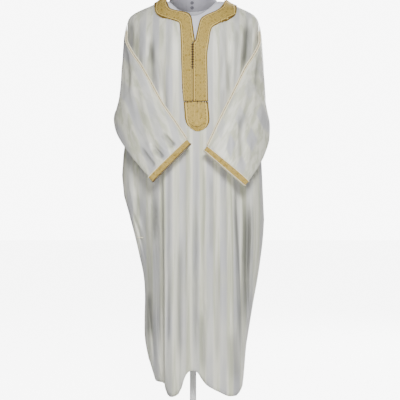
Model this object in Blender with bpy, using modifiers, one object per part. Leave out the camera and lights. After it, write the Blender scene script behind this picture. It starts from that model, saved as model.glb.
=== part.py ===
"""A long ivory thobe robe with gold braid, hanging on a limbless dress form.

Metres, +Z up, the front faces -Y, the floor is z = 0 and the form's pole stands on x = y = 0.
Every cloth piece is a thin open surface given its wall by Solidify. The surfaces are worked out
from the tables below, whose rows are in millimetres.
"""
import bisect
import math

import bmesh
import bpy
from mathutils import Vector
from mathutils.bvhtree import BVHTree

MM = 0.001

# Cloth and trim
CLOTH_WALL = 1.6
SEAM_GAP = 0.9
LAY_GAP = 0.8
RIDGE_LIFT = 1.9
RIDGE_LIFT_STEPS = 4
BRAID_WALL = 1.5
SLEEVE_CORD_RADIUS = 1.5
CORD_END_SHARE = 0.92
PLACKET_CORD_RADIUS = 1.3

# Robe
UNDERARM_HEIGHT = 1170
TIP_HEIGHT = 1485
ARMHOLE_HALF_WIDTH = 22
TIP_HALF_GAP = 2.5
SIDE_SEAM_HALF_GAP = 0.6
SHOULDER_ROUND = 260
NECK_LEFT_X = -98
NECK_RIGHT_X = 119
PLACKET_X = -1

# Rows of the panels: close together over the shoulder, then one about every 80 mm
SHOULDER_ROWS = 8
SHOULDER_ROW_DROP = 190
BODY_ROWS = 15

# Sleeves
SLEEVE_POINTS = 20
SLEEVE_STEPS = 2

# Dress form
FORM_WALL_CLEARANCE = 0.85
FORM_SHOULDER_X = 196
FORM_FRONT = 113
FORM_BACK = 98
FORM_POINTS = 28
NECK_SEAM_X = 92
NECK_SEAM_FRONT = 80
NECK_SEAM_BACK = 62
SNAP_RADIUS = 6.2
SNAP_THICKNESS = 1.6
SNAP_GAP = 0.75
SNAP_TILT = 82
SNAP_X = -3
SNAP_HEIGHTS = (1553, 1534)
FORM_JOINT_GAP = 0.3
FAR_AHEAD = -300
POLE_RADIUS = 12.5
FOOT_RADIUS = 150
FOOT_THICKNESS = 12
TORSO_BOTTOM = 800


class Table:
    """A short table with named columns, read smoothly at any value of its first column."""

    def __init__(self, names, rows):
        self.names = names.split()
        self.rows = sorted(rows)
        self.keys = [row[0] for row in self.rows]

    def slope(self, column, i):
        if i == 0 or i == len(self.rows) - 1:
            return 0.0
        before, here, after = self.rows[i - 1], self.rows[i], self.rows[i + 1]
        left = (here[column] - before[column]) / (here[0] - before[0])
        right = (after[column] - here[column]) / (after[0] - here[0])
        if left * right <= 0:
            return 0.0
        return 2 * left * right / (left + right)

    def at(self, key, name):
        column = self.names.index(name)
        key = min(max(key, self.keys[0]), self.keys[-1])
        i = min(bisect.bisect_right(self.keys, key), len(self.rows) - 1)
        low, high = self.rows[i - 1], self.rows[i]
        span = high[0] - low[0]
        t = (key - low[0]) / span
        start = (1 + 2 * t) * (1 - t) ** 2 * low[column]
        end = t * t * (3 - 2 * t) * high[column]
        lean = t * (1 - t) ** 2 * self.slope(column, i - 1) - t * t * (1 - t) * self.slope(column, i)
        return start + end + span * lean


# The robe's outline and depth at each height. The fold columns are the two long upright fold
# edges of the skirt, and the step columns say how far the side behind each edge lies back.
BODY = Table(
    "height left left_fold right_fold right front back left_step right_step square", [
        (1600, -251, -107, 148, 251, 124, 112, 0, 0, 2.8),
        (1485, -251, -107, 148, 251, 127, 114, 0, 0, 2.8),
        (1350, -250, -107, 148, 250, 130, 116, 0, 0, 2.8),
        (1170, -246, -107, 148, 247, 133, 119, 2, 2, 2.8),
        (1050, -256, -107, 150, 255, 137, 122, 10, 5, 2.8),
        (922, -270, -107, 154, 262, 141, 127, 30, 12, 2.9),
        (830, -262, -106, 157, 266, 144, 131, 44, 15, 3.0),
        (739, -236, -105, 160, 270, 147, 135, 54, 17, 3.2),
        (617, -206, -104, 165, 259, 151, 139, 60, 20, 3.4),
        (495, -183, -103, 170, 241, 154, 143, 64, 23, 3.7),
        (404, -182, -103, 174, 224, 156, 146, 64, 25, 4.0),
        (313, -183, -103, 178, 210, 158, 148, 62, 24, 4.2),
        (252, -179, -103, 180, 199, 159, 149, 58, 18, 4.3),
        (176, -156, -103, 176, 189, 160, 150, 52, 10, 4.4),
        (90, -136, -103, 168, 180, 160, 150, 48, 6, 4.4),
    ])

# Height of the shoulder line at each distance from the middle
SHOULDER = Table("out height", [
    (0, 1600), (60, 1597), (95, 1591), (110, 1585), (120, 1577), (145, 1559), (177, 1546),
    (210, 1531), (234, 1516), (246, 1500), (251, 1485)])

# Front neck edge with its slit, from the left side of the neck to the right
NECK_FRONT = Table("x height", [
    (-98, 1566), (-93, 1540), (-84, 1529), (-60, 1523), (-27, 1517), (-12, 1509), (-4, 1492),
    (0, 1462), (8, 1405), (17, 1450), (25, 1483), (37, 1497), (57, 1508), (86, 1522),
    (104, 1535), (114, 1550), (119, 1571)])

NECK_BACK = Table("x height", [(-98, 1573), (-80, 1558), (-40, 1549), (10, 1546), (60, 1549),
                               (100, 1558), (119, 1574)])

# Lower edge of the front: two low lobes with an arch between them
HEM_FRONT = Table("x height", [
    (-150, 134), (-110, 132), (-103, 122), (-96, 100), (-81, 90), (-59, 96), (-45, 112),
    (-37, 138), (-30, 166), (-18, 184), (-1, 190), (15, 180), (30, 158), (49, 136), (75, 120),
    (104, 105), (138, 91), (160, 91), (174, 104), (190, 124)])

HEM_BACK = Table("x height", [(-150, 134), (-110, 140), (-60, 190), (0, 222), (70, 205),
                              (130, 150), (190, 124)])

# Upright columns of the front panel between the two fold edges, as x at the neck
MIDDLE_COLUMNS = (-107, -98, -89, -79, -69, -59, -49, -38, -27, -17, -8, 0, 8, 16, 25, 35, 46,
                  57, 68, 80, 92, 104, 112, 119, 124, 135, 148)
# And between a fold edge and the side seam, from 0 at the edge to 1 at the seam
SIDE_COLUMNS = (0.045, 0.14, 0.25, 0.37, 0.49, 0.61, 0.72, 0.82, 0.91, 1.0)
BACK_MIDDLE_COLUMNS = (-107, -98, -84, -68, -50, -31, -11, 9, 29, 48, 66, 82, 98, 110, 119, 124,
                       135, 148)
BACK_SIDE_COLUMNS = (0.15, 0.3, 0.45, 0.6, 0.75, 0.88, 1.0)

# Soft folds: each runs between two points, and its rise is towards the outside of the robe
# Columns: top_x, top_height, low_x, low_height, half_width, rise
FRONT_FOLDS = [
    (-233, 1480, -200, 1290, 17, -14),
    (-205, 1500, -178, 1330, 15, 6),
    (-168, 1440, -146, 1130, 20, -13),
    (-120, 1480, -112, 1180, 17, -5),
    (-80, 1420, -78, 1100, 20, 4),
    (118, 1400, 120, 1190, 16, -5),
    (142, 1360, 138, 1120, 17, -11),
    (182, 1470, 172, 1220, 18, 6),
    (212, 1500, 204, 1290, 19, -18),
    (-77, 1000, -76, 90, 22, 6),
    (-42, 960, -34, 200, 20, -5),
    (-9, 1020, -12, 200, 22, 5),
    (24, 980, 24, 180, 18, -5),
    (49, 980, 58, 110, 20, 5),
    (88, 1000, 100, 100, 22, -6),
    (130, 1040, 146, 90, 20, 7),
    (206, 800, 200, 320, 17, -20),
    (228, 900, 214, 420, 14, 10),
    (-146, 900, -134, 160, 16, 12),
    (-222, 960, -164, 300, 17, -20),
]
BACK_FOLDS = [
    (-196, 1440, -190, 1000, 24, -12),
    (-150, 1380, -136, 110, 26, 14),
    (-96, 1200, -92, 120, 26, -18),
    (-48, 1250, -50, 180, 25, 12),
    (2, 1350, 4, 180, 26, -13),
    (56, 1200, 60, 160, 26, 14),
    (108, 1320, 116, 120, 25, -17),
    (158, 1240, 152, 110, 24, 12),
    (206, 1440, 196, 900, 22, -12),
    (-212, 900, -166, 260, 20, -16),
    (226, 900, 196, 320, 18, -14),
]

# Sleeves, armhole to cuff: each is a flattened tube along a middle surface that wraps round the
# body. A section runs from the top edge, where the cord lies, through a middle place to the low
# edge, the underarm fold; the two layers lie half_gap to each side of it. Row 0 is the armhole.
SLEEVE_NAMES = "row top_x top_y top_z mid_x mid_y mid_z low_x low_y low_z half_gap"
LEFT_SLEEVE = Table(SLEEVE_NAMES, [
    (0, -253, 0, 1486, -250, 0, 1327, -249, 2, 1169, 22),
    (0.5, -257, -26, 1452, -261, -10, 1304, -263, 9, 1158, 13),
    (1, -247, -68, 1404, -263, -38, 1275, -274, 10, 1147, 9),
    (2, -195, -124, 1316, -254, -86, 1226, -288, -4, 1136, 9),
    (3, -157, -144, 1249, -248, -114, 1184, -298, -28, 1121, 10),
    (4, -113, -162, 1168, -212, -144, 1114, -286, -76, 1062, 12),
    (5, -65, -178, 1100, -148, -178, 1038, -226, -152, 975, 12),
    (6, -22, -190, 1035, -91, -202, 967, -160, -206, 898, 11),
    (7, -7, -194, 1019, -76, -204, 950, -145, -209, 881, 10)])
RIGHT_SLEEVE = Table(SLEEVE_NAMES, [
    (0, 253, 0, 1486, 250, 0, 1327, 250, 2, 1169, 22),
    (0.5, 257, -26, 1450, 261, -10, 1302, 262, 9, 1156, 13),
    (1, 246, -68, 1394, 262, -38, 1268, 271, 10, 1142, 9),
    (2, 198, -122, 1308, 250, -86, 1218, 281, -4, 1126, 9),
    (3, 164, -142, 1238, 244, -114, 1168, 288, -26, 1098, 10),
    (4, 128, -160, 1165, 216, -144, 1098, 284, -74, 1036, 12),
    (5, 90, -176, 1088, 174, -178, 1018, 252, -150, 950, 12),
    (6, 53, -189, 1010, 129, -201, 947, 203, -206, 883, 11),
    (7, 40, -193, 995, 114, -203, 931, 188, -209, 868, 10)])

# Neck braid: where its inner and outer edges lie on the panel
# Columns: in_x, in_height, out_x, out_height
LEFT_BRAID = [
    (-107, 1600, -146, 1600), (-102, 1572, -145, 1544), (-95, 1550, -141, 1522),
    (-88, 1535, -132, 1506), (-74, 1527, -112, 1493), (-54, 1522, -84, 1486),
    (-34, 1518, -62, 1479), (-16, 1511, -51, 1472), (-6, 1497, -47.5, 1456),
    (-1.5, 1470, -46, 1434), (3, 1436, -45, 1409), (6.5, 1407, -44, 1384),
    (-2, 1395, -43.5, 1365), (-2, 1340, -43, 1334), (-2, 1300, -41.5, 1295),
    (-2, 1260, -40, 1260), (-2, 1223, -38.5, 1223), (-2, 1180, -34.5, 1180)]
RIGHT_BRAID = [
    (124, 1600, 165, 1600), (122, 1564, 165, 1538), (117, 1555, 163, 1522),
    (108, 1540, 158, 1508), (90, 1525, 143, 1495), (66, 1513, 118, 1479),
    (42, 1501, 88, 1466), (30, 1490, 72, 1455), (24, 1474, 66, 1441),
    (19.5, 1452, 63, 1426), (14, 1427, 61, 1409), (9.5, 1407, 57, 1384),
    (0, 1395, 54, 1362), (0, 1340, 53, 1334), (0, 1300, 54, 1295),
    (0, 1260, 55, 1260), (0, 1223, 55.5, 1223), (0, 1180, 56.5, 1180)]
BACK_BRAID = [
    (-107, 1600, -146, 1600), (-100, 1574, -143, 1546), (-88, 1563, -124, 1522),
    (-70, 1554, -97, 1509), (-44, 1550, -60, 1504), (-16, 1547.5, -24, 1502),
    (10, 1546.5, 12, 1502), (38, 1548, 48, 1502), (66, 1551, 84, 1505),
    (90, 1556, 116, 1511), (110, 1564, 143, 1524), (120, 1569, 161, 1541),
    (124, 1600, 165, 1600)]
BRAID_ACROSS = 4
BRAID_STEPS = 2
# Extra steps of the braid next to the shoulder ridge, where the cloth turns over
RIDGE_STEPS = (0.1, 0.25)

# Tab with the round end, below the placket: its sides at each height
TAB = Table("height left right", [
    (1178, -34, 56.5), (1149, -32, 59), (1120, -29.5, 61.5), (1104, -26, 60.5), (1092, -20, 56),
    (1082, -11, 48), (1074, 0, 37), (1069, 12, 22)])
TAB_ROWS = (1178, 1164, 1149, 1134, 1120, 1104, 1092, 1082, 1074, 1069)
TAB_ACROSS = 6

BUTTONS = 10
BUTTON_TOP_HEIGHT = 1390
BUTTON_PITCH = 9.2
BUTTON_GAP = 0.25
# Half of a knot button in its loop, lying across the slit: distance from the middle and radius
BUTTON_PROFILE = ((0, 2.4), (2.4, 1.9), (5.8, 1.6), (7, 0))
CORD_POINTS = 8
CORD_POINT_PITCH = 16

BAR_TACK_HEIGHT = 674
BAR_TACK_LEFT = -208
BAR_TACK_PITCH = 2.5
BAR_TACK_POINTS = 9
BAR_TACK_RADIUS = 1.0

# Dress form torso: height, half width, front depth and back depth
TORSO = Table("height wide front back", [
    (800, 158, 100, 108), (880, 170, 106, 114), (980, 150, 100, 98), (1080, 132, 93, 84),
    (1180, 142, 100, 86), (1270, 158, 110, 94), (1330, 172, 113, 98)])
TORSO_RINGS = (800, 830, 880, 930, 980, 1030, 1080, 1130, 1180, 1225, 1270, 1310)
TOP_RINGS = 9
# Neck above its seam: height, half width and half depth
NECK_RINGS = ((1592, 73, 66), (1612, 65, 61), (1635, 61, 58), (1660, 60, 57))
CAP_PROFILE = ((0, 1672), (30, 1671.5), (50, 1669), (57, 1665), (58, 1660.3), (0, 1660.3))
FOOT_PROFILE = ((0, FOOT_THICKNESS), (126, FOOT_THICKNESS), (141, 9), (148, 5),
                (FOOT_RADIUS, 2), (FOOT_RADIUS, 0), (0, 0))
SOCKET_PROFILE = ((13, 34), (20, 34), (22, 31), (23, 12.4), (13, 12.4))


def make_material(name, color, roughness, metallic=0.0):
    material = bpy.data.materials.new(name)
    material.use_nodes = True
    shader = material.node_tree.nodes["Principled BSDF"]
    shader.inputs["Base Color"].default_value = (*color, 1.0)
    shader.inputs["Roughness"].default_value = roughness
    shader.inputs["Metallic"].default_value = metallic
    return material


def add_object(name, mesh, material):
    part = bpy.data.objects.new(name, mesh)
    mesh.materials.append(material)
    PARTS.objects.link(part)
    return part


def mesh_from_rows(name, rows, closed):
    """An open surface through rows of points, in millimetres; closed joins each row to a ring."""
    bm = bmesh.new()
    grid = [[bm.verts.new(Vector(point) * MM) for point in row] for row in rows]
    columns = len(rows[0])
    for i in range(len(rows) - 1):
        for j in range(columns if closed else columns - 1):
            k = (j + 1) % columns
            bm.faces.new((grid[i][j], grid[i][k], grid[i + 1][k], grid[i + 1][j]))
    mesh = bpy.data.meshes.new(name)
    bm.to_mesh(mesh)
    bm.free()
    mesh.shade_smooth()
    return mesh


def add_sheet(name, rows, wall, material, closed=False):
    """A wall of cloth or braid with the rows' points in its middle."""
    part = add_object(name, mesh_from_rows(name, rows, closed), material)
    solidify = part.modifiers.new("Wall", "SOLIDIFY")
    solidify.thickness = wall * MM
    solidify.offset = 0.0
    return part


def add_loft(name, rings, material):
    """A closed solid through rings, ended by fans from each end ring's middle."""
    mesh = mesh_from_rows(name, rings, closed=True)
    bm = bmesh.new()
    bm.from_mesh(mesh)
    bm.verts.ensure_lookup_table()
    count = len(rings[0])
    for start in (0, count * (len(rings) - 1)):
        ring = bm.verts[start:start + count]
        middle = bm.verts.new(sum((v.co for v in ring), Vector()) / count)
        for a, b in zip(ring, ring[1:] + ring[:1]):
            bm.faces.new((a, b, middle))
        bm.verts.ensure_lookup_table()
    bmesh.ops.recalc_face_normals(bm, faces=bm.faces)
    bm.to_mesh(mesh)
    bm.free()
    mesh.shade_smooth()
    return add_object(name, mesh, material)


def add_turned(name, profile, material, steps=32, axis="Z"):
    """A profile of radius and height turned about an axis through the object's origin."""
    mesh = bpy.data.meshes.new(name)
    points = [Vector((radius, 0, along)) * MM for radius, along in profile]
    edges = [(i, i + 1) for i in range(len(points) - 1)]
    if profile[0][0] and profile[-1][0]:
        edges.append((len(points) - 1, 0))
    mesh.from_pydata(points, edges, [])
    part = add_object(name, mesh, material)
    screw = part.modifiers.new("Turn", "SCREW")
    screw.steps = steps
    screw.render_steps = steps
    screw.use_merge_vertices = True
    screw.merge_threshold = 0.00001
    if axis == "X":
        part.rotation_euler = (0, math.radians(90), 0)
    return part


def add_disc(name, radius, length, middle, sides, material, tilt=0):
    """A round bar or disc about its middle, in millimetres, tilted about X by degrees."""
    bpy.ops.mesh.primitive_cylinder_add(
        vertices=sides, radius=radius * MM, depth=length * MM, location=middle * MM,
        rotation=(math.radians(tilt), 0, 0))
    disc = bpy.context.object
    disc.name = name
    disc.data.materials.append(material)
    for owner in disc.users_collection:
        owner.objects.unlink(disc)
    PARTS.objects.link(disc)
    return disc


def add_tube(name, points, radius, material):
    """A round cord through points, in millimetres."""
    curve = bpy.data.curves.new(name, "CURVE")
    curve.dimensions = "3D"
    curve.bevel_depth = radius * MM
    curve.bevel_resolution = 1
    curve.use_fill_caps = True
    curve.materials.append(material)
    spline = curve.splines.new("POLY")
    spline.points.add(len(points) - 1)
    for place, point in zip(spline.points, points):
        place.co = (*(Vector(point) * MM), 1.0)
    tube = bpy.data.objects.new(name, curve)
    PARTS.objects.link(tube)
    return tube


def ease(t):
    t = min(max(t, 0.0), 1.0)
    return t * t * (3 - 2 * t)


def fold_rise(folds, x, height):
    """How far the folds move the cloth out at a place on a panel."""
    total = 0.0
    for top_x, top_height, low_x, low_height, half_width, rise in folds:
        along = (top_height - height) / (top_height - low_height)
        middle = top_x + (low_x - top_x) * min(max(along, 0.0), 1.0)
        aside = abs(x - middle) / half_width
        if aside < 1 and -0.2 < along:
            start = ease((along + 0.2) / 0.4)
            end = 1.0 if low_height < 250 else ease((1.2 - along) / 0.4)
            total += rise * start * end * (0.5 + 0.5 * math.cos(math.pi * aside))
    return total


class Panel:
    """The front or back of the robe as a surface over x and height."""

    def __init__(self, sign, neck, hem, folds, middle_columns, side_columns):
        self.sign = sign
        self.depth_name = "front" if sign < 0 else "back"
        self.neck = neck
        self.hem = hem
        self.folds = folds
        self.middle_columns = middle_columns
        self.side_columns = side_columns

    def flatness(self, x, height):
        """Share of the panel's full depth that is left at x."""
        left, right = BODY.at(height, "left"), BODY.at(height, "right")
        across = min(abs(x - (left + right) / 2) / ((right - left) / 2), 0.9999)
        return (1 - across ** BODY.at(height, "square")) ** 0.4545

    def drop(self, x, height):
        """0 at the shoulder line and 1 where the panel hangs upright."""
        below = SHOULDER.at(abs(x), "height") - height
        return min(max(below / SHOULDER_ROUND, 0.0), 1.0)

    def depth(self, x, height, back_off=0.0):
        """Distance of the surface from the side seams' plane."""
        flat = self.flatness(x, height)
        drop = self.drop(x, height)
        over = math.sqrt(1 - (1 - drop) ** 2)
        rise = fold_rise(self.folds, x, height) * flat ** 0.5 * ease(drop * 6)
        return max(BODY.at(height, self.depth_name) * flat * over + rise - back_off * over, 0.0)

    def outward(self, x, height):
        """Direction straight out of the cloth."""
        flat = self.flatness(x, height)
        drop = self.drop(x, height)
        over = math.sqrt(1 - (1 - drop) ** 2)
        flat_slope = (self.flatness(x + 1, height) - self.flatness(x - 1, height)) / 2
        ridge_slope = (SHOULDER.at(abs(x + 1), "height") - SHOULDER.at(abs(x - 1), "height")) / 2
        up = (1 - drop) / SHOULDER_ROUND
        aside = -over ** 2 * flat_slope / flat - up * ridge_slope
        ahead = self.sign * over / (BODY.at(height, self.depth_name) * flat)
        return Vector((aside, ahead, up)).normalized()

    def side_edge(self, height, side):
        """X of the side seam, or of the armhole's edge above the underarm."""
        edge = BODY.at(height, side)
        rise = (height - UNDERARM_HEIGHT) / (TIP_HEIGHT - UNDERARM_HEIGHT)
        if not 0 < rise < 1:
            return edge
        wanted = ARMHOLE_HALF_WIDTH * math.sin(math.pi * rise) ** 0.5
        near, far = edge * 0.5, edge
        for _ in range(30):
            middle = (near + far) / 2
            if self.depth(middle, height) > wanted:
                near = middle
            else:
                far = middle
        return near

    def x_at(self, column, height):
        """X of a column; the columns are pairs of a zone and a place in it."""
        zone, place = column
        fold_left, fold_right = BODY.at(height, "left_fold"), BODY.at(height, "right_fold")
        if zone == "middle":
            first, last = self.middle_columns[0], self.middle_columns[-1]
            return fold_left + (fold_right - fold_left) * (place - first) / (last - first)
        fold = fold_left if zone == "left" else fold_right
        return fold + (self.side_edge(height, zone) - fold) * math.sin(place * math.pi / 2)

    def top_height(self, column):
        """Height of a column's upper end, at the neck edge or the shoulder line."""
        zone, place = column
        if zone == "middle" and NECK_LEFT_X <= place <= NECK_RIGHT_X:
            return self.neck.at(place, "height")
        if zone != "middle" and place == 1.0:
            return TIP_HEIGHT
        height = TIP_HEIGHT
        for _ in range(8):
            height = SHOULDER.at(abs(self.x_at(column, height)), "height")
        return height

    def step_at(self, column, height):
        """How far a side zone lies back behind its fold edge."""
        zone, place = column
        if zone == "middle" or self.sign > 0:
            return 0.0
        first = self.side_columns[0]
        return BODY.at(height, zone + "_step") * min(place / first, 1.0) * (1 - place ** 2)

    def columns(self):
        left = [("left", place) for place in reversed(self.side_columns)]
        middle = [("middle", x) for x in self.middle_columns]
        right = [("right", place) for place in self.side_columns]
        return left + middle + right

    def point(self, column, height):
        x = self.x_at(column, height)
        depth = max(self.depth(x, height, self.step_at(column, height)), SEAM_GAP / 2)
        at_side = column[1] == 1.0
        if at_side and height > UNDERARM_HEIGHT:
            depth = max(depth, TIP_HALF_GAP)
        elif at_side:
            depth = SIDE_SEAM_HALF_GAP
        return (x, self.sign * depth, height)

    def rows(self):
        """Rows of points from the top to the hem."""
        lines = []
        for column in self.columns():
            top = self.top_height(column)
            low = self.hem.at(self.x_at(column, 130), "height")
            line = []
            for i in range(SHOULDER_ROWS):
                line.append(self.point(column, top - SHOULDER_ROW_DROP * (i / SHOULDER_ROWS) ** 2))
            for i in range(BODY_ROWS + 1):
                start = top - SHOULDER_ROW_DROP
                line.append(self.point(column, start + (low - start) * i / BODY_ROWS))
            lines.append(line)
        return [[line[i] for line in lines] for i in range(len(lines[0]))]


def surface_of(part):
    """The finished outer surface of a part, for laying other pieces on it."""
    bpy.context.view_layer.update()
    return BVHTree.FromObject(part, bpy.context.evaluated_depsgraph_get())


def lay_on(tree, panel, x, height, lift):
    """A point on a panel's outer face, moved out by lift millimetres."""
    depth = max(panel.depth(x, height), SEAM_GAP)
    out = panel.outward(x, height)
    middle = Vector((x, panel.sign * depth, height))
    hit = tree.ray_cast((middle + out * 12) * MM, -out, 20 * MM)[0]
    face = hit / MM if hit else middle + out * CLOTH_WALL / 2
    if (face - middle).dot(out) < CLOTH_WALL / 2 - 0.5:
        face = middle + out * CLOTH_WALL / 2
    return face + out * lift


def ridge_lift(panel, step, last_step):
    """Extra lift of the braid's rows near the shoulder ridge, where the cloth turns over."""
    from_ridge = min(step, last_step - step) if panel is BACK else step
    return RIDGE_LIFT * max(0.0, 1 - from_ridge / RIDGE_LIFT_STEPS)


def below_shoulder(x, height):
    return max(SHOULDER.at(abs(x), "height") - height, 0.0)


def braid_rows(tree, panel, edges, lift):
    """Rows of points across a braid, each row between its inner and its outer edge."""
    names = "in_x in_drop out_x out_drop"
    drops = []
    for i, (in_x, in_height, out_x, out_height) in enumerate(edges):
        drops.append((i, in_x, below_shoulder(in_x, in_height), out_x, below_shoulder(out_x, out_height)))
    table = Table("step " + names, drops)
    last_step = len(edges) - 1
    steps = [i / BRAID_STEPS for i in range(last_step * BRAID_STEPS + 1)] + list(RIDGE_STEPS)
    if panel is BACK:
        steps += [last_step - step for step in RIDGE_STEPS]
    rows = []
    for step in sorted(steps):
        in_x, in_drop, out_x, out_drop = [table.at(step, name) for name in names.split()]
        above = lift + ridge_lift(panel, step, last_step)
        row = []
        for j in range(BRAID_ACROSS + 1):
            t = j / BRAID_ACROSS
            x = in_x + (out_x - in_x) * t
            height = SHOULDER.at(abs(x), "height") - in_drop - (out_drop - in_drop) * t
            row.append(lay_on(tree, panel, x, height, above))
        rows.append(row)
    return rows


def sleeve_middle(table, row, turn):
    """A place on a sleeve's middle surface; turn 0 is the top edge and pi the low edge."""
    top, mid, low = [Vector([table.at(row, name + axis) for axis in ("_x", "_y", "_z")])
                     for name in ("top", "mid", "low")]
    centre = (top + low) / 2
    return centre + (top - low) / 2 * math.cos(turn) + (mid - centre) * math.sin(turn) ** 2


def sleeve_ring(table, row):
    """One ring of a sleeve: from the top edge over its outer layer, the low edge and back."""
    half_gap = table.at(row, "half_gap")
    side = -1 if table.at(row, "top_x") < 0 else 1
    ring = []
    for i in range(SLEEVE_POINTS):
        turn = 2 * math.pi * i / SLEEVE_POINTS
        fold = turn if turn <= math.pi else 2 * math.pi - turn
        ahead = sleeve_middle(table, row + 0.2, fold) - sleeve_middle(table, row - 0.2, fold)
        down = sleeve_middle(table, row, fold + 0.1) - sleeve_middle(table, row, fold - 0.1)
        out = down.cross(ahead).normalized() * -side
        if row < 1:
            out = Vector((0, 1, 0)).lerp(out, row).normalized()
        gap = math.copysign(half_gap * abs(math.sin(turn)) ** 0.6, math.sin(turn))
        ring.append(sleeve_middle(table, row, fold) + out * gap)
    return ring


def armhole_ring(side, table):
    """The ring at the armhole, just outside the panels' edges."""
    ring = []
    out = -1 if side == "left" else 1
    for i in range(SLEEVE_POINTS):
        turn = 2 * math.pi * i / SLEEVE_POINTS
        middle = (TIP_HEIGHT + UNDERARM_HEIGHT) / 2
        height = middle + (TIP_HEIGHT - UNDERARM_HEIGHT) / 2 * math.cos(turn)
        panel = BACK if math.sin(turn) >= 0 else FRONT
        x = panel.side_edge(height, side) + out * (CLOTH_WALL + SEAM_GAP)
        depth = max(panel.depth(panel.side_edge(height, side), height), 0.0)
        if i in (0, SLEEVE_POINTS // 2):
            depth = 0.0
        ring.append(Vector((x, panel.sign * depth, height)))
    return ring


def sleeve_rings(side, table):
    rings = [armhole_ring(side, table)]
    last = int(table.keys[-1])
    for i in range(1, last * SLEEVE_STEPS + 1):
        rings.append(sleeve_ring(table, i / SLEEVE_STEPS))
    return rings


def grown_ring(ring, amount):
    """A ring moved out from its own outline."""
    count = len(ring)
    middle = sum(ring, Vector()) / count
    axis = Vector()
    for i in range(count):
        axis += (ring[i] - middle).cross(ring[(i + 1) % count] - middle)
    axis.normalize()
    grown = []
    for i in range(count):
        along = ring[(i + 1) % count] - ring[i - 1]
        grown.append(ring[i] + along.cross(axis).normalized() * amount)
    return grown


def add_sleeve(side, table):
    """A sleeve with its cuff band and the cord along its top edge."""
    add_sheet("sleeve_" + side, sleeve_rings(side, table), CLOTH_WALL, CLOTH, closed=True)
    first, last = table.keys[-2], table.keys[-1]
    lift = CLOTH_WALL / 2 + LAY_GAP + BRAID_WALL / 2
    cuff = [grown_ring(sleeve_ring(table, first + (last - first) * t), lift) for t in (0, 0.5, 1)]
    add_sheet("cuff_" + side, cuff, BRAID_WALL, GOLD, closed=True)
    rings = sleeve_rings(side, table)[1:int(first) * SLEEVE_STEPS + 1]
    points = []
    for ring in rings:
        out = (ring[0] - (ring[1] + ring[-1]) / 2).normalized()
        points.append(ring[0] + out * (CLOTH_WALL / 2 + LAY_GAP + SLEEVE_CORD_RADIUS))
    points[-1] = points[-2].lerp(points[-1], CORD_END_SHARE)
    add_tube("sleeve_cord_" + side, points, SLEEVE_CORD_RADIUS, CREAM)


def add_neck_braid():
    """Neck braid, placket, tab, buttons and placket cord, all laid on the panels."""
    front_face = surface_of(FRONT_PART)
    lift = LAY_GAP + BRAID_WALL / 2
    add_sheet("braid_left", braid_rows(front_face, FRONT, LEFT_BRAID, lift), BRAID_WALL, GOLD)
    add_sheet("braid_right", braid_rows(front_face, FRONT, RIGHT_BRAID, lift), BRAID_WALL, GOLD)
    back_face = surface_of(BACK_PART)
    add_sheet("braid_back", braid_rows(back_face, BACK, BACK_BRAID, lift), BRAID_WALL, GOLD)
    tab = []
    for height in TAB_ROWS:
        left, right = TAB.at(height, "left"), TAB.at(height, "right")
        places = [left + (right - left) * j / TAB_ACROSS for j in range(TAB_ACROSS + 1)]
        tab.append([lay_on(front_face, FRONT, x, height, lift) for x in places])
    add_sheet("placket_tab", tab, BRAID_WALL, GOLD)
    above = LAY_GAP + BRAID_WALL + BUTTON_GAP
    for i in range(BUTTONS):
        height = BUTTON_TOP_HEIGHT - BUTTON_PITCH * i
        radius = BUTTON_PROFILE[0][1]
        spot = lay_on(front_face, FRONT, PLACKET_X, height, above + radius)
        half = [(radius, along) for along, radius in BUTTON_PROFILE]
        profile = [(r, -a) for r, a in reversed(half)] + half[1:]
        button = add_turned(f"button_{i + 1:02d}", profile[::-1], BRONZE, steps=6, axis="X")
        button.location = spot * MM
    cord = []
    for i in range(CORD_POINTS):
        height = BUTTON_TOP_HEIGHT - BUTTON_PITCH * BUTTONS - CORD_POINT_PITCH * i
        cord.append(lay_on(front_face, FRONT, PLACKET_X, height, above + PLACKET_CORD_RADIUS))
    add_tube("placket_cord", cord, PLACKET_CORD_RADIUS, GOLD)


def form_height(x, depth, reach):
    """Height of the form's shoulders at a place in plan, just under the cloth."""
    ridge = min(SHOULDER.at(abs(x), "height"), 1574 + 0.05 * (NECK_SEAM_X - abs(x)))
    share = min(abs(depth) / (reach * FRONT.flatness(abs(x), TIP_HEIGHT)), 1.0)
    clearance = CLOTH_WALL / 2 + FORM_WALL_CLEARANCE
    return ridge - clearance - (SHOULDER_ROUND - 12) * (1 - math.sqrt(1 - share ** 2))


def form_turns():
    return [2 * math.pi * i / FORM_POINTS for i in range(FORM_POINTS)]


def neck_seam_ring(lift):
    ring = []
    for turn in form_turns():
        reach = NECK_SEAM_BACK if math.sin(turn) > 0 else NECK_SEAM_FRONT
        x, y = NECK_SEAM_X * math.cos(turn), reach * math.sin(turn)
        whole = FORM_BACK if y > 0 else FORM_FRONT
        ring.append((x, y, form_height(x, y, whole) + lift))
    return ring


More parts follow.
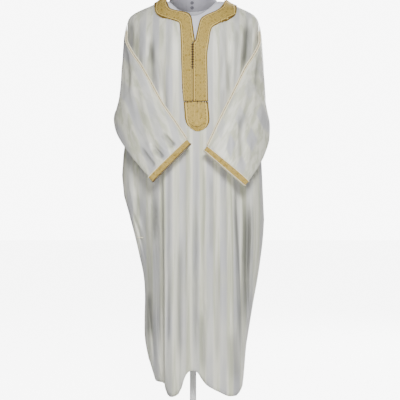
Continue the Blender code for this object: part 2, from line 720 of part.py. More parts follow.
def add_dress_form():
    """Torso, neck, cap, snaps, pole, socket and round foot."""
    rings = []
    for height in TORSO_RINGS:
        ring = []
        for turn in form_turns():
            reach = TORSO.at(height, "back" if math.sin(turn) > 0 else "front")
            wide = TORSO.at(height, "wide")
            across, deep = math.cos(turn), math.sin(turn)
            ring.append((wide * math.copysign(abs(across) ** 0.85, across),
                         reach * math.copysign(abs(deep) ** 0.85, deep), height))
        rings.append(ring)
    seam = neck_seam_ring(0.0)
    for i in range(TOP_RINGS):
        share = i / TOP_RINGS
        ring = []
        for turn, (seam_x, seam_y, _) in zip(form_turns(), seam):
            whole = FORM_BACK if math.sin(turn) > 0 else FORM_FRONT
            edge_x = FORM_SHOULDER_X * math.copysign(abs(math.cos(turn)) ** 0.8, math.cos(turn))
            edge_y = whole * 0.96 * math.copysign(abs(math.sin(turn)) ** 0.9, math.sin(turn))
            x = edge_x + (seam_x - edge_x) * share
            y = edge_y + (seam_y - edge_y) * share
            soften = 10 * (1 - share) ** 4
            ring.append((x, y, form_height(x, y, whole) - soften))
        rings.append(ring)
    rings.append(seam)
    add_loft("form_torso", rings, JERSEY)
    neck = [neck_seam_ring(0.4)]
    for height, wide, deep in NECK_RINGS:
        ring = []
        for turn in form_turns():
            ring.append((wide * math.cos(turn), deep * math.sin(turn) - 5, height))
        neck.append(ring)
    neck_part = add_loft("form_neck", neck, FELT)
    cap = add_turned("form_cap", CAP_PROFILE, PAINT, steps=32)
    cap.location.y = -5 * MM
    face = surface_of(neck_part)
    for i, height in enumerate(SNAP_HEIGHTS):
        start = Vector((SNAP_X, FAR_AHEAD, height)) * MM
        hit = face.ray_cast(start, Vector((0, 1, 0)))[0] / MM
        middle = hit - Vector((0, SNAP_THICKNESS / 2 + SNAP_GAP, 0))
        add_disc(f"form_snap_{i + 1}", SNAP_RADIUS, SNAP_THICKNESS, middle, 20, DARK, SNAP_TILT)
    pole_low, pole_high = FOOT_THICKNESS + FORM_JOINT_GAP, TORSO_BOTTOM - FORM_JOINT_GAP
    pole_middle = Vector((0, 0, (pole_low + pole_high) / 2))
    add_disc("form_pole", POLE_RADIUS, pole_high - pole_low, pole_middle, 24, PAINT)
    add_turned("form_socket", SOCKET_PROFILE, PAINT, steps=24)
    add_turned("form_foot", FOOT_PROFILE, PAINT, steps=40)


def add_bar_tack():
    """The short stitched bar that closes the lower end of the left side slit."""
    face = surface_of(FRONT_PART)
    points = []
    for i in range(BAR_TACK_POINTS):
        x = BAR_TACK_LEFT + BAR_TACK_PITCH * i
        start = Vector((x, FAR_AHEAD, BAR_TACK_HEIGHT)) * MM
        hit, normal, _, _ = face.ray_cast(start, Vector((0, 1, 0)))
        points.append(hit / MM + normal * (LAY_GAP + BAR_TACK_RADIUS))
    add_tube("bar_tack", points, BAR_TACK_RADIUS, CREAM)


for old in list(bpy.data.objects):
    bpy.data.objects.remove(old, do_unlink=True)

PARTS = bpy.data.collections.new("thobe_robe")
bpy.context.scene.collection.children.link(PARTS)

CLOTH = make_material("ivory_satin", (0.80, 0.79, 0.70), 0.45)
GOLD = make_material("gold_braid", (0.52, 0.34, 0.10), 0.5, 0.2)
CREAM = make_material("cream_cord", (0.78, 0.70, 0.48), 0.6)
BRONZE = make_material("bronze_knots", (0.20, 0.13, 0.05), 0.6)
JERSEY = make_material("white_jersey", (0.80, 0.80, 0.82), 0.9)
FELT = make_material("grey_jersey", (0.35, 0.34, 0.38), 0.9)
PAINT = make_material("white_painted_steel", (0.86, 0.86, 0.86), 0.35)
DARK = make_material("dark_snap", (0.10, 0.10, 0.12), 0.4, 0.6)

FRONT = Panel(-1, NECK_FRONT, HEM_FRONT, FRONT_FOLDS, MIDDLE_COLUMNS, SIDE_COLUMNS)
BACK = Panel(1, NECK_BACK, HEM_BACK, BACK_FOLDS, BACK_MIDDLE_COLUMNS, BACK_SIDE_COLUMNS)
FRONT_PART = add_sheet("front", FRONT.rows(), CLOTH_WALL, CLOTH)
BACK_PART = add_sheet("back", BACK.rows(), CLOTH_WALL, CLOTH)
add_sleeve("left", LEFT_SLEEVE)
add_sleeve("right", RIGHT_SLEEVE)
add_neck_braid()
add_bar_tack()
add_dress_form()
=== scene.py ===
"""Looks of an ivory thobe robe with gold braid, hanging on a limbless dress form.

Metres, +Z up, the robe's front faces -Y. Sizes written with MM are in millimetres.
"""
import math
from functools import cache, partial

import bmesh
import bpy
from mathutils import Matrix, Vector, noise
from mathutils.bvhtree import BVHTree


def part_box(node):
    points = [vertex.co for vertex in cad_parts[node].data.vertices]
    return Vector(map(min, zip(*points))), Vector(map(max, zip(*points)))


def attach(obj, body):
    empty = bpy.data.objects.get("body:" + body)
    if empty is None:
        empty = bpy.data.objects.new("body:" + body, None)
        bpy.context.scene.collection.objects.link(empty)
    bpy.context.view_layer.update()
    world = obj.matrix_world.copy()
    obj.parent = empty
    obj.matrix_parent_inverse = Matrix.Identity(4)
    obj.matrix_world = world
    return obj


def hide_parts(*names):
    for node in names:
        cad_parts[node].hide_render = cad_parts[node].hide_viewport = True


bl_info = {
    "name": "Thobe robe on a dress form",
    "version": (1, 0, 0),
    "blender": (4, 5, 0),
    "location": "3D View > Sidebar > Robe",
    "description": "An ivory satin robe with gold braid, on a limbless dress form",
    "category": "Object",
}

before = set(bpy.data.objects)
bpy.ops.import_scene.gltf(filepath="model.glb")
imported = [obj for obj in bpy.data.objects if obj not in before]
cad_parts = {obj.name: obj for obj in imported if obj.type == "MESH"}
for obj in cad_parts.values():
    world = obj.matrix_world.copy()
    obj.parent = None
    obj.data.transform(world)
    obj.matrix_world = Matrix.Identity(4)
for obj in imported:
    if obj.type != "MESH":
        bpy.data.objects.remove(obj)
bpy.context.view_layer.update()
MM = 0.001

# Camera: straight ahead, level, one pixel of the 400-pixel frame is 3.7 mm at the robe's front
CAMERA_PLACE = (0.0265, -4.63, 0.8152)
CAMERA_LENS = 109.5

# Creases that are finer than the panels' own folds.
# Columns: top_x, top_height, low_x, low_height, half_width, rise (outwards), in millimetres
FRONT_CREASES = [
    (-151, 1500, -168, 1330, 13, -6),
    (-172, 1490, -190, 1360, 12, 4),
    (-206, 1490, -214, 1380, 12, -6),
    (-186, 1420, -170, 1240, 13, -5),
    (-143, 1400, -128, 1190, 12, 4),
    (-118, 1330, -103, 1150, 12, -4),
    (-92, 1300, -90, 1120, 13, 3),
    (-70, 1280, -66, 1080, 12, -4),
    (92, 1440, 88, 1270, 12, 3),
    (110, 1360, 104, 1180, 12, -4),
    (128, 1440, 132, 1250, 12, -5),
    (152, 1470, 152, 1300, 13, 4),
    (172, 1470, 160, 1230, 14, -9),
    (192, 1500, 178, 1360, 12, 5),
    (210, 1500, 184, 1260, 14, -10),
    (232, 1450, 226, 1360, 10, 4),
    (-92, 1000, -93, 300, 11, -4),
    (-62, 1010, -57, 150, 12, 4),
    (-28, 1000, -26, 240, 11, -3),
    (8, 990, 6, 260, 12, 4),
    (36, 980, 40, 200, 11, -4),
    (70, 1000, 76, 170, 13, 4),
    (112, 1040, 122, 140, 12, -5),
    (138, 900, 150, 200, 8, 5),
    (158, 880, 172, 230, 8, -9),
    (178, 880, 184, 420, 9, 6),
    (202, 860, 196, 420, 20, -8),
    (38, 416, 52, 384, 9, -4),
    (-120, 880, -118, 200, 9, 6),
    (-135, 860, -128, 240, 9, -6),
    (-168, 860, -150, 400, 12, 5),
    (-196, 820, -176, 640, 11, -5),
    (-176, 440, -150, 170, 9, 5),
    (-163, 420, -140, 190, 9, -5),
]
BACK_CREASES = [
    (-172, 1480, -166, 1250, 14, 5),
    (-120, 1440, -124, 1150, 14, -6),
    (-72, 1400, -70, 1050, 13, 5),
    (-24, 1420, -28, 1100, 14, -5),
    (30, 1400, 26, 1050, 13, 5),
    (82, 1430, 84, 1100, 14, -6),
    (134, 1460, 132, 1150, 14, 5),
    (184, 1480, 178, 1260, 14, -5),
    (-176, 980, -152, 200, 14, 6),
    (-120, 1000, -112, 170, 13, -5),
    (-72, 980, -74, 180, 13, 6),
    (-20, 1000, -22, 220, 13, -5),
    (30, 980, 32, 210, 13, 5),
    (84, 1000, 88, 180, 13, -6),
    (132, 990, 136, 150, 13, 5),
    (182, 960, 172, 240, 13, -6),
]
# Bands of the front that turn away in deep folds, darkened in the satin's colour as painted shade.
# Columns as above, with a share of darkness in place of the rise
FRONT_PAINTED_SHADES = [
    (-152, 1415, -145, 1235, 12, 0.4),
    (-236, 1495, -226, 1370, 14, 0.5),
    (-164, 1480, -156, 1425, 7, 0.35),
    (-160, 1425, -146, 1310, 24, 0.28),
    (-128, 1350, -112, 1200, 12, 0.34),
    (136, 1345, 132, 1200, 13, 0.45),
    (110, 1240, 104, 1120, 10, 0.3),
    (210, 1490, 186, 1300, 26, 0.5),
    (-140, 905, -140, 200, 42, 0.33),
    (-142, 875, -146, 640, 13, 0.45),
    (-215, 835, -204, 735, 15, 0.32),
    (-166, 480, -164, 290, 16, 0.45),
    (-112, 900, -108, 200, 7, 0.12),
    (-47, 700, -50, 190, 15, 0.5),
    (-84, 560, -88, 260, 9, 0.25),
    (28, 420, 40, 170, 15, 0.4),
    (12, 860, 8, 200, 16, 0.36),
    (68, 930, 68, 590, 11, 0.4),
    (94, 650, 92, 190, 12, 0.4),
    (154, 895, 182, 180, 8, 0.5),
    (206, 850, 196, 320, 25, 0.48),
    (140, 340, 152, 130, 26, 0.35),
    (-134, 990, -112, 900, 12, 0.6),
    (188, 960, 206, 850, 13, 0.5),
    (-238, 985, -164, 896, 10, 0.5),
    (256, 940, 206, 884, 10, 0.45),
]
# Share of a crease's or shade's length that it runs on past its ends, and over which it fades
PANEL_FADE, SHADE_FADE, SLEEVE_FADE = (0.15, 0.35), (0.0, 0.25), (0.2, 0.45)
# Distances from trim and seams, in metres, between which the creases grow to their full height
PANEL_CLEAR, SLEEVE_CLEAR = (0.006, 0.030), (0.007, 0.025)
# Small uneven waves of the cloth. Columns for the panels: scale across and down, in waves a
# millimetre, layer of the noise, and rise in millimetres
PANEL_WAVES = [(0.03, 0.004, 1, 1.6), (0.09, 0.012, 3, 0.7)]
# Columns for the sleeves: scale in waves a metre, and rise in millimetres
SLEEVE_WAVES = [(11.0, 2.0), (26.0, 0.8)]
# Short puckers where the side seams are gathered.
# Columns: side, first and last height, distance between two puckers, rise, in millimetres
FRONT_PUCKERS = [("left", 655, 500, 9.5, 5.28), ("right", 690, 270, 17, 6.24)]
# Sleeve creases run along straight lines through the sleeve, given by their two ends.
# Columns: x, y, height, x, y, height, reach, rise
LEFT_SLEEVE_CREASES = [
    (-262, -70, 1390, -235, -130, 1230, 24, -7),
    (-275, -55, 1330, -270, -95, 1180, 22, 6),
    (-240, -120, 1300, -205, -150, 1150, 22, 5),
    (-215, -135, 1240, -176, -165, 1080, 22, -6),
    (-250, -110, 1180, -190, -165, 1010, 24, 6),
    (-112, -190, 1056, -66, -205, 1008, 15, -11),
    (-140, -195, 1040, -90, -205, 990, 14, 7),
    (-152, -195, 1012, -104, -208, 962, 15, -11),
    (-166, -190, 1030, -128, -206, 968, 13, 6),
    (-190, -182, 1000, -134, -210, 930, 14, -9),
    (-285, -30, 1200, -270, -90, 1080, 20, -5),
    (-262, 20, 1330, -285, 10, 1190, 20, -5),
]
RIGHT_SLEEVE_CREASES = [
    (262, -70, 1380, 236, -130, 1220, 24, -7),
    (276, -55, 1320, 272, -95, 1170, 22, 6),
    (243, -120, 1290, 208, -150, 1140, 22, 5),
    (222, -135, 1230, 182, -165, 1070, 22, -6),
    (252, -110, 1170, 212, -160, 1010, 24, 6),
    (180, -170, 1120, 176, -195, 960, 18, -7),
    (140, -185, 1060, 140, -200, 960, 18, 6),
    (210, -175, 1040, 196, -200, 930, 16, 5),
    (286, -30, 1190, 270, -90, 1070, 20, -5),
    (262, 20, 1320, 285, 10, 1180, 20, -5),
]

# Height of the shoulder line at distances from the middle
SHOULDER = [
    (0, 1600), (60, 1597), (95, 1591), (110, 1585), (120, 1577), (145, 1559), (177, 1546),
    (210, 1531), (234, 1516)]
# Neck braid: inner and outer edge on the panel, in millimetres; RIDGE means on the shoulder line.
# Columns: in_x, in_height, out_x, out_height
RIDGE = 1600
LEFT_BRAID = [
    (-107, RIDGE, -146, RIDGE), (-102, 1572, -145, 1544), (-95, 1550, -141, 1522),
    (-88, 1535, -132, 1506), (-74, 1527, -112, 1493), (-54, 1522, -84, 1486),
    (-34, 1518, -62, 1479), (-16, 1511, -51, 1472), (-6, 1497, -47.5, 1456),
    (-1.5, 1470, -46, 1434), (3, 1436, -45, 1409), (6.5, 1407, -44, 1384),
    (-2, 1395, -43.5, 1365), (-2, 1340, -43, 1334), (-2, 1300, -41.5, 1295),
    (-2, 1260, -40, 1260), (-2, 1223, -38.5, 1223), (-2, 1180, -34.5, 1180)]
RIGHT_BRAID = [
    (124, RIDGE, 165, RIDGE), (122, 1570, 165, 1540), (117, 1555, 163, 1522),
    (108, 1540, 158, 1508), (90, 1525, 143, 1495), (66, 1513, 118, 1479),
    (42, 1501, 88, 1466), (30, 1490, 72, 1455), (24, 1474, 66, 1441),
    (19.5, 1452, 63, 1426), (14, 1427, 61, 1409), (9.5, 1407, 57, 1384),
    (0, 1395, 54, 1362), (0, 1340, 53, 1334), (0, 1300, 54, 1295),
    (0, 1260, 55, 1260), (0, 1223, 55.5, 1223), (0, 1180, 56.5, 1180)]
BACK_BRAID = [
    (-107, RIDGE, -146, RIDGE), (-100, 1574, -143, 1546), (-88, 1563, -124, 1522),
    (-70, 1554, -97, 1509), (-44, 1550, -60, 1504), (-16, 1547.5, -24, 1502),
    (10, 1546.5, 12, 1502), (38, 1548, 48, 1502), (66, 1551, 84, 1505),
    (90, 1556, 116, 1511), (110, 1564, 143, 1524), (120, 1569, 161, 1541),
    (124, RIDGE, 165, RIDGE)]
TAB = [
    (-34, 1178, 56.5, 1178), (-33, 1164, 57.5, 1164), (-32, 1149, 59, 1149),
    (-30.5, 1134, 60.5, 1134), (-29.5, 1120, 61.5, 1120), (-26, 1104, 60.5, 1104),
    (-20, 1092, 56, 1092), (-11, 1082, 48, 1082), (0, 1074, 37, 1074), (12, 1069.5, 22, 1069.5)]
# Raised cord figures on the tab: two stems that end in curls, and an arc with a rosette above it
TAB_STEMS = [
    [(6, 1172), (6, 1130), (5, 1112), (0, 1104), (-6, 1107), (-7, 1114), (-2, 1117)],
    [(22, 1172), (22, 1130), (23, 1112), (28, 1104), (34, 1107), (35, 1114), (30, 1117)],
]
TAB_ARC = [(-8, 1096), (0, 1089), (14, 1085.5), (28, 1089), (36, 1096)]
TAB_ROSETTE = (14, 1099)
TAB_STITCHES_X = -14
# Dark stitches across the placket's lower edge: x and half length
PLACKET_BARS = [(-26, 3), (-19, 3), (-7, 2.5), (17, 6), (31, 3), (43, 4), (50, 5)]
# Cuffs: the way out of the sleeve, and the way along the cuff from its lower end
CUFF_WAYS = {
    "left": ((15, -4, -16), (-138, -15, -138)),
    "right": ((-13, -4, -16), (148, -16, -127)),
}
# Rims of the cuffs: points on each side, distance of the rays' start in metres, and the ray
# steps towards the edge, with their length in millimetres
RIM_POINTS, RIM_RAY_START, RIM_STEPS, RIM_STEP = 42, 0.15, 80, 0.4
# Slope of the sleeves' warp from upright, which their stripes follow
SLEEVE_TURN = math.atan2(228, 451)
# Bindings down the front panel's sides: first and last height
SIDE_BINDINGS = [("left", 815, 170), ("right", 800, 215)]
# The white jersey ends on the neck where a point's product with the slant is the neckline, in metres
NECKLINE = 1.585
NECKLINE_SLANT = (0, -0.85, 1)
NECK_SEAM_X, NECK_SEAM_LOW, NECK_SEAM_HIGH = -23, 1516, 1655
# Rays that look for a surface start this far from the robe's middle plane, in metres
RAY_START = 0.4
# The camera sees the backdrop and the floor brighter than the robe does
BACKDROP_SEEN, BACKDROP_GLOW, FLOOR_SEEN = 8.0, 0.18, 7.0
# Lights: name, place, target, size, and share of the key light's power
LIGHTS = [
    ("key_light", (0.35, -3.6, 2.4), (0, 0, 0.8), 0.8, 1.0),
    ("rim_light", (1.6, 2.6, 2.6), (0, 0, 1.0), 1.5, 0.8),
]

# Braid, in millimetres: height of its cords, of its edge cords and of its back, and its wall
BRAID_CREST, EDGE_RISE, BRAID_LIFT, BRAID_THICKNESS = 0.45, 0.35, 0.3, 0.8
# Sleeve piping: how far its two cords lie below and above the seam, in millimetres
PIPING_BELOW, PIPING_ABOVE = 4.0, 2.0
KNOT_COUNT = 10
KNOT_RADIUS = 1.7
TACK_WRAPS = 14
# Snaps, in millimetres: radius of the ring, of its wire and of the domed middle
SNAP_RING, SNAP_WIRE, SNAP_DOME = 5.0, 1.1, 2.4
# Walls that meet at more than this angle have a cut edge between them
RIM_ANGLE = math.radians(50)
# Painted shade of cloth turned aside, of each millimetre of dip in panel and sleeve, and the darkest
# painted shade
TURNED_SHADE, PANEL_DIP_SHADE, SLEEVE_DIP_SHADE, DARKEST = 0.22, 0.025, 0.06, 0.85


def linear(hex_value):
    """The linear colour of an sRGB hex value."""
    shares = [int(hex_value[i:i + 2], 16) / 255 for i in (1, 3, 5)]
    return [c / 12.92 if c <= 0.04045 else ((c + 0.055) / 1.055) ** 2.4 for c in shares]


def color_property(name, description, hex_value):
    return bpy.props.FloatVectorProperty(
        name=name, description=description, subtype="COLOR", size=3, min=0.0, max=1.0,
        default=linear(hex_value))


def length_property(name, description, default, low):
    return bpy.props.FloatProperty(
        name=name, description=description, default=default, min=low, unit="LENGTH")


class RobeCloth(bpy.types.PropertyGroup):
    light: color_property("Satin stripe", "Ivory of the shining stripe", "#EDECDC")
    shade: color_property("Matt stripe", "Cool tone of the matt stripe", "#C6C6C8")
    green: color_property("Fold tint", "Faint green of the satin's float side", "#D2D4BC")
    stripe: length_property("Stripe pitch", "Distance between two shining stripes", 0.050, 0.01)
    # Colour of the painted shade in folds and on cloth turned aside
    fold: color_property("Fold shade", "Satin where it turns away in a fold", "#63645F")
    crease: bpy.props.FloatProperty(
        name="Crease strength", description="Share of the listed crease heights",
        default=1.0, min=0.0, max=1.5)


class RobeTrim(bpy.types.PropertyGroup):
    gold: color_property("Braid gold", "Metallic thread of the braid", "#D2B04C")
    # The braid highlight colour is also a painted highlight on the crests of the braid's twisted
    # ridges
    gold_light: color_property("Braid highlight", "Lighter cords of the braid", "#EFD27C")
    gold_dark: color_property("Braid edge", "Olive cords at the braid's edges", "#6E5214")
    cream: color_property("Cream piping", "Piping beside the braid and along the sleeves", "#FFF6D6")
    knot: color_property("Knots", "Bronze cord of the knot buttons", "#4A3819")
    cord_pitch: length_property("Cord pitch", "Width of one cord of the braid", 0.0037, 0.001)
    piping: length_property("Piping radius", "Radius of the cream piping", 0.0030, 0.0005)


class RobeForm(bpy.types.PropertyGroup):
    jersey: color_property("Torso jersey", "White jersey over the torso", "#E9E9F0")
    neck: color_property("Neck jersey", "Grey jersey over the neck", "#A3A1AA")
    paint: color_property("Stand paint", "Powder coat of pole and foot", "#F2F2F2")
    snap: color_property("Snap", "Dark nickel of the snaps", "#3A3A40")


class RobeStage(bpy.types.PropertyGroup):
    floor: color_property("Floor", "Plain pale floor", "#FFFFFF")
    key: bpy.props.FloatProperty(
        name="Key light", description="Power of the large soft light", default=165.0, min=0.0)


def look(name):
    return getattr(bpy.context.scene, "robe_" + name)


def rgba(color):
    return (*color, 1.0)


# Kinds of node with their settings; any other word names the operation of a Math node.
KINDS = {
    "coordinates": ("ShaderNodeTexCoord", {}),
    "mapping": ("ShaderNodeMapping", {}),
    "split": ("ShaderNodeSeparateXYZ", {}),
    "noise": ("ShaderNodeTexNoise", {}),
    "bump": ("ShaderNodeBump", {}),
    "light path": ("ShaderNodeLightPath", {}),
    "mix": ("ShaderNodeMix", {"data_type": "RGBA"}),
    "soft range": ("ShaderNodeMapRange", {"interpolation_type": "SMOOTHSTEP"}),
    "dot": ("ShaderNodeVectorMath", {"operation": "DOT_PRODUCT"}),
    "braid map": ("ShaderNodeUVMap", {"uv_map": "braid"}),
    # The fold attribute holds the painted shade of folds and of cloth turned aside
    "fold": ("ShaderNodeAttribute", {"attribute_name": "fold"}),
    "wave": ("ShaderNodeTexWave", {"bands_direction": "DIAGONAL"}),
}


def fill_inputs(node, inputs):
    """Give a node's inputs, by name or number, values or the outputs of other nodes."""
    for key, value in inputs.items():
        if isinstance(value, bpy.types.NodeSocket):
            node.id_data.links.new(value, node.inputs[key])
        else:
            node.inputs[key].default_value = value


def add_node(tree, kind, *values, out=None, **named):
    """The named or first output of a new node, whose inputs are filled in order and by name."""
    type_name, settings = KINDS.get(kind, ("ShaderNodeMath", {"operation": kind}))
    node = tree.nodes.new(type_name)
    for name, value in settings.items():
        setattr(node, name, value)
    shown = [i for i, socket in enumerate(node.inputs) if socket.enabled]
    fill_inputs(node, {**dict(zip(shown, values)), **named})
    return node.outputs[out] if out else next(socket for socket in node.outputs if socket.enabled)


def new_material(name, roughness, metallic=0.0):
    """A material, a function that adds nodes to it, and its shader."""
    material = bpy.data.materials.new(name)
    material.use_nodes = True
    tree = material.node_tree
    shader = tree.nodes["Principled BSDF"]
    fill_inputs(shader, {"Roughness": roughness, "Metallic": metallic})
    return material, partial(add_node, tree), shader


def satin(name, turn=0.0, across_way=(1, 0, 0), crossed=False):
    """Ivory viscose satin, woven with matt and shining warp stripes.

    The stripes change tone rather than colour. The soft streaks between them are the yarn's
    slubs, and the fine ribs are the weave, drawn at 1.6 mm so that they show.
    """
    cloth = look("cloth")
    material, add, shader = new_material(name, 0.43)
    place = add("coordinates", out="Object")
    turned = add("mapping", Vector=place, Rotation=(0, turn, 0))
    across = add("dot", place, across_way)
    wave = add("SINE", add("MULTIPLY", across, math.tau / cloth.stripe))
    stripes = add("soft range", wave, -0.5, 0.5)
    if crossed:
        back = add("mapping", Vector=place, Rotation=(0, -turn, 0))
        angle = add("MULTIPLY", add("split", back, out="X"), math.tau / cloth.stripe / 1.6)
        crossing = add("soft range", add("SINE", angle), -0.4, 0.4)
        stripes = add("MULTIPLY", stripes, crossing)
    stretched = add("mapping", Vector=turned, Scale=(60, 60, 2.2))
    slubs = add("noise", Vector=stretched, Scale=1.0, Detail=3.0)
    streaks = add("soft range", slubs, 0.42, 0.62)
    tinted = add("mix", streaks, rgba(cloth.light), rgba(cloth.green))
    broad = add("noise", Vector=place, Scale=5.5, Detail=2.0)
    uneven = add("soft range", broad, 0.35, 0.65, 0.45, 0.95)
    toned = add("mix", add("MULTIPLY", stripes, uneven), tinted, rgba(cloth.shade))
    # Painted shade: the piece's fold attribute darkens the colour in folds and where cloth turns aside
    folded = add("mix", add("fold", out="Fac"), toned, rgba(cloth.fold))
    ribs = add("mapping", Vector=turned, Scale=(625, 625, 90))
    weave = add("noise", Vector=ribs, Scale=1.0, Detail=1.0)
    fill_inputs(shader, {
        "Base Color": folded,
        "Roughness": add("MULTIPLY_ADD", stripes, 0.12, 0.38),
        "Specular IOR Level": 0.42,
        "Sheen Weight": 0.15,
        "Sheen Roughness": 0.4,
        "Normal": add("bump", Height=weave, Distance=0.00025, Strength=0.35),
    })
    return material


def braid(name, width, lines=True):
    """Braid of flat metallic-thread cords sewn side by side, each twisted against the next.

    The UV map holds millimetres: X along the cords and Y across them. With lines, the edge cords
    are olive, with a lighter cord and a row of stitches inside them.
    """
    trim = look("trim")
    pitch = trim.cord_pitch / MM
    gold, light, dark = rgba(trim.gold), rgba(trim.gold_light), rgba(trim.gold_dark)
    material, add, shader = new_material(name, 0.52, 0.25)
    place = add("braid map")
    along, across = add("split", place, out="X"), add("split", place, out="Y")
    cords = add("DIVIDE", across, pitch)
    inside = add("PINGPONG", cords, 0.5)
    groove = add("soft range", inside, 0.0, 0.22)
    way = add("MULTIPLY_ADD", add("MODULO", add("FLOOR", cords), 2.0), 2.0, -1.0)
    slanted = add("MULTIPLY_ADD", way, add("MULTIPLY", inside, pitch * 1.6), along)
    twist = add("SINE", add("MULTIPLY", slanted, math.tau / 2.6))
    # Painted highlight: each twisted ridge is coloured lighter towards its crest
    field = add("mix", add("soft range", twist, -0.9, 0.9), gold, light)
    patches = add("soft range", add("noise", Vector=place, Scale=0.09, Detail=3.0), 0.5, 0.72)
    field = add("mix", patches, field, add("mix", 0.35, gold, dark))
    # Painted shade: the grooves between the cords are coloured dark
    field = add("mix", groove, dark, field)
    if lines:
        edge = add("MINIMUM", across, add("SUBTRACT", width, across))
        inner = add("COMPARE", edge, pitch * 2.1, pitch * 0.75)
        field = add("mix", add("MULTIPLY", inner, 0.9), field, light)
        wave = add("SINE", add("MULTIPLY", along, math.tau / 13.0))
        row = add("MULTIPLY", add("COMPARE", edge, pitch * 3.4, pitch * 0.5), 0.55)
        field = add("mix", add("MULTIPLY", add("GREATER_THAN", wave, 0.1), row), field, dark)
        outer = add("LESS_THAN", edge, pitch * 1.4)
        field = add("mix", add("MULTIPLY", outer, 0.85), field, dark)
    relief = add("MULTIPLY", twist, groove)
    bump = add("bump", Height=relief, Distance=0.0004, Strength=0.7)
    fill_inputs(shader, {"Base Color": field, "Normal": bump})
    return material


def thread(name, color, roughness=0.6, metallic=0.0, pitch=2.2, shadow=0.72):
    """Twisted cord of cotton or viscose thread: short slanted ridges of thread run round it."""
    material, add, shader = new_material(name, roughness, metallic)
    place = add("coordinates", out="Object")
    scale = math.tau / (pitch * MM) / 20
    twist = add("wave", Vector=place, Scale=scale, Distortion=1.5, out="Fac")
    # Painted shade: the hollows between the twisted ridges are darkened by the shadow share
    dark = tuple(c * shadow for c in color)
    toned = add("mix", twist, rgba(dark), rgba(color))
    bump = add("bump", Height=twist, Distance=0.0003, Strength=0.6)
    fill_inputs(shader, {"Base Color": toned, "Normal": bump})
    return material


def knit(name, color, low_color=None):
    """Cotton jersey: fine ribs of stitches, drawn at 1.5 mm, soft and without gloss.

    A second colour is the other jersey, which covers the foot of the neck up to a slanting line.
    """
    material, add, shader = new_material(name, 0.85)
    place = add("coordinates", out="Object")
    ribs = add("mapping", Vector=place, Scale=(660, 660, 420))
    stitches = add("noise", Vector=ribs, Scale=1.0)
    dark = tuple(c * 0.88 for c in color)
    toned = add("mix", stitches, rgba(dark), rgba(color))
    if low_color:
        low = add("LESS_THAN", add("dot", place, NECKLINE_SLANT), NECKLINE)
        toned = add("mix", low, toned, rgba(low_color))
    bump = add("bump", Height=stitches, Distance=0.0003, Strength=0.4)
    fill_inputs(shader, {"Base Color": toned, "Sheen Weight": 0.3, "Normal": bump})
    return material


def powder_coat(name, color):
    """Powder-coated steel: a fine even grain, and slightly duller where hands have held it."""
    material, add, shader = new_material(name, 0.42)
    place = add("coordinates", out="Object")
    grain = add("noise", Vector=place, Scale=900.0)
    wear = add("noise", Vector=place, Scale=14.0, Detail=4.0)
    rough = add("soft range", wear, 0.4, 0.7, 0.36, 0.5)
    bump = add("bump", Height=grain, Distance=0.0001, Strength=0.3)
    fill_inputs(shader, {"Base Color": rgba(color), "Roughness": rough, "Normal": bump})
    return material


def dark_nickel(name, color):
    """Pressed dark-nickel brass: fine turning marks and a soft gloss."""
    material, add, shader = new_material(name, 0.38, 0.8)
    marks = add("noise", Vector=add("coordinates", out="Object"), Scale=700.0)
    light = tuple(min(c * 1.5, 1.0) for c in color)
    toned = add("mix", marks, rgba(color), rgba(light))
    bump = add("bump", Height=marks, Distance=0.0001, Strength=0.3)
    fill_inputs(shader, {"Base Color": toned, "Normal": bump})
    return material


def ease(t):
    t = min(max(t, 0.0), 1.0)
    return t * t * (3 - 2 * t)


def item_at(line, i):
    """The item of a list at an index, or its first or last item where the index is past its ends."""
    return line[min(max(i, 0), len(line) - 1)]


def forward(distance):
    """A shift towards the robe's front by a number of millimetres."""
    return Vector((0, -distance * MM, 0))


def deselect_all():
    for item in bpy.context.selected_objects:
        item.select_set(False)


def activate(piece, *others):
    """Select only these pieces, with the first as the active one."""
    deselect_all()
    for item in (piece, *others):
        item.select_set(True)
    bpy.context.view_layer.objects.active = piece


def add_object(name, data, place=(0, 0, 0), rotation=(0, 0, 0)):
    item = bpy.data.objects.new(name, data)
    item.location = place
    item.rotation_euler = rotation
    bpy.context.scene.collection.objects.link(item)
    return item


def link_piece(name, mesh, material):
    piece = add_object(name, mesh)
    mesh.name = name
    mesh.materials.clear()
    mesh.materials.append(material)
    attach(piece, "root")
    return piece


def apply_modifiers(piece):
    activate(piece)
    for modifier in list(piece.modifiers):
        bpy.ops.object.modifier_apply(modifier=modifier.name)
    piece.select_set(False)


def keep_rims(mesh):
    """Hold the cut edges of a wall in place, so that smoothing doesn't round hems and corners."""
    bm = bmesh.new()
    bm.from_mesh(mesh)
    on_edges = bm.edges.layers.float.new("crease_edge")
    on_corners = bm.verts.layers.float.new("crease_vert")
    for edge in bm.edges:
        if edge.calc_face_angle(0.0) > RIM_ANGLE:
            edge[on_edges] = 1.0
            for vertex in edge.verts:
                vertex[on_corners] = 1.0
    bm.to_mesh(mesh)
    bm.free()


def subdivide(piece, levels):
    modifier = piece.modifiers.new("Subdivision", "SUBSURF")
    modifier.levels = levels
    modifier.render_levels = levels
    apply_modifiers(piece)


def joined_copy(node):
    """The mesh of a CAD node with its loose triangles joined, as far as they go, to quads."""
    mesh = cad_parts[node].data.copy()
    bm = bmesh.new()
    bm.from_mesh(mesh)
    bmesh.ops.remove_doubles(bm, verts=bm.verts, dist=0.01 * MM)
    bmesh.ops.recalc_face_normals(bm, faces=bm.faces)
    bmesh.ops.join_triangles(
        bm, faces=bm.faces, cmp_seam=False, cmp_sharp=False, cmp_uvs=False, cmp_vcols=False,
        cmp_materials=False, angle_face_threshold=math.radians(50),
        angle_shape_threshold=math.radians(60))
    bm.to_mesh(mesh)
    bm.free()
    mesh.shade_smooth()
    return mesh


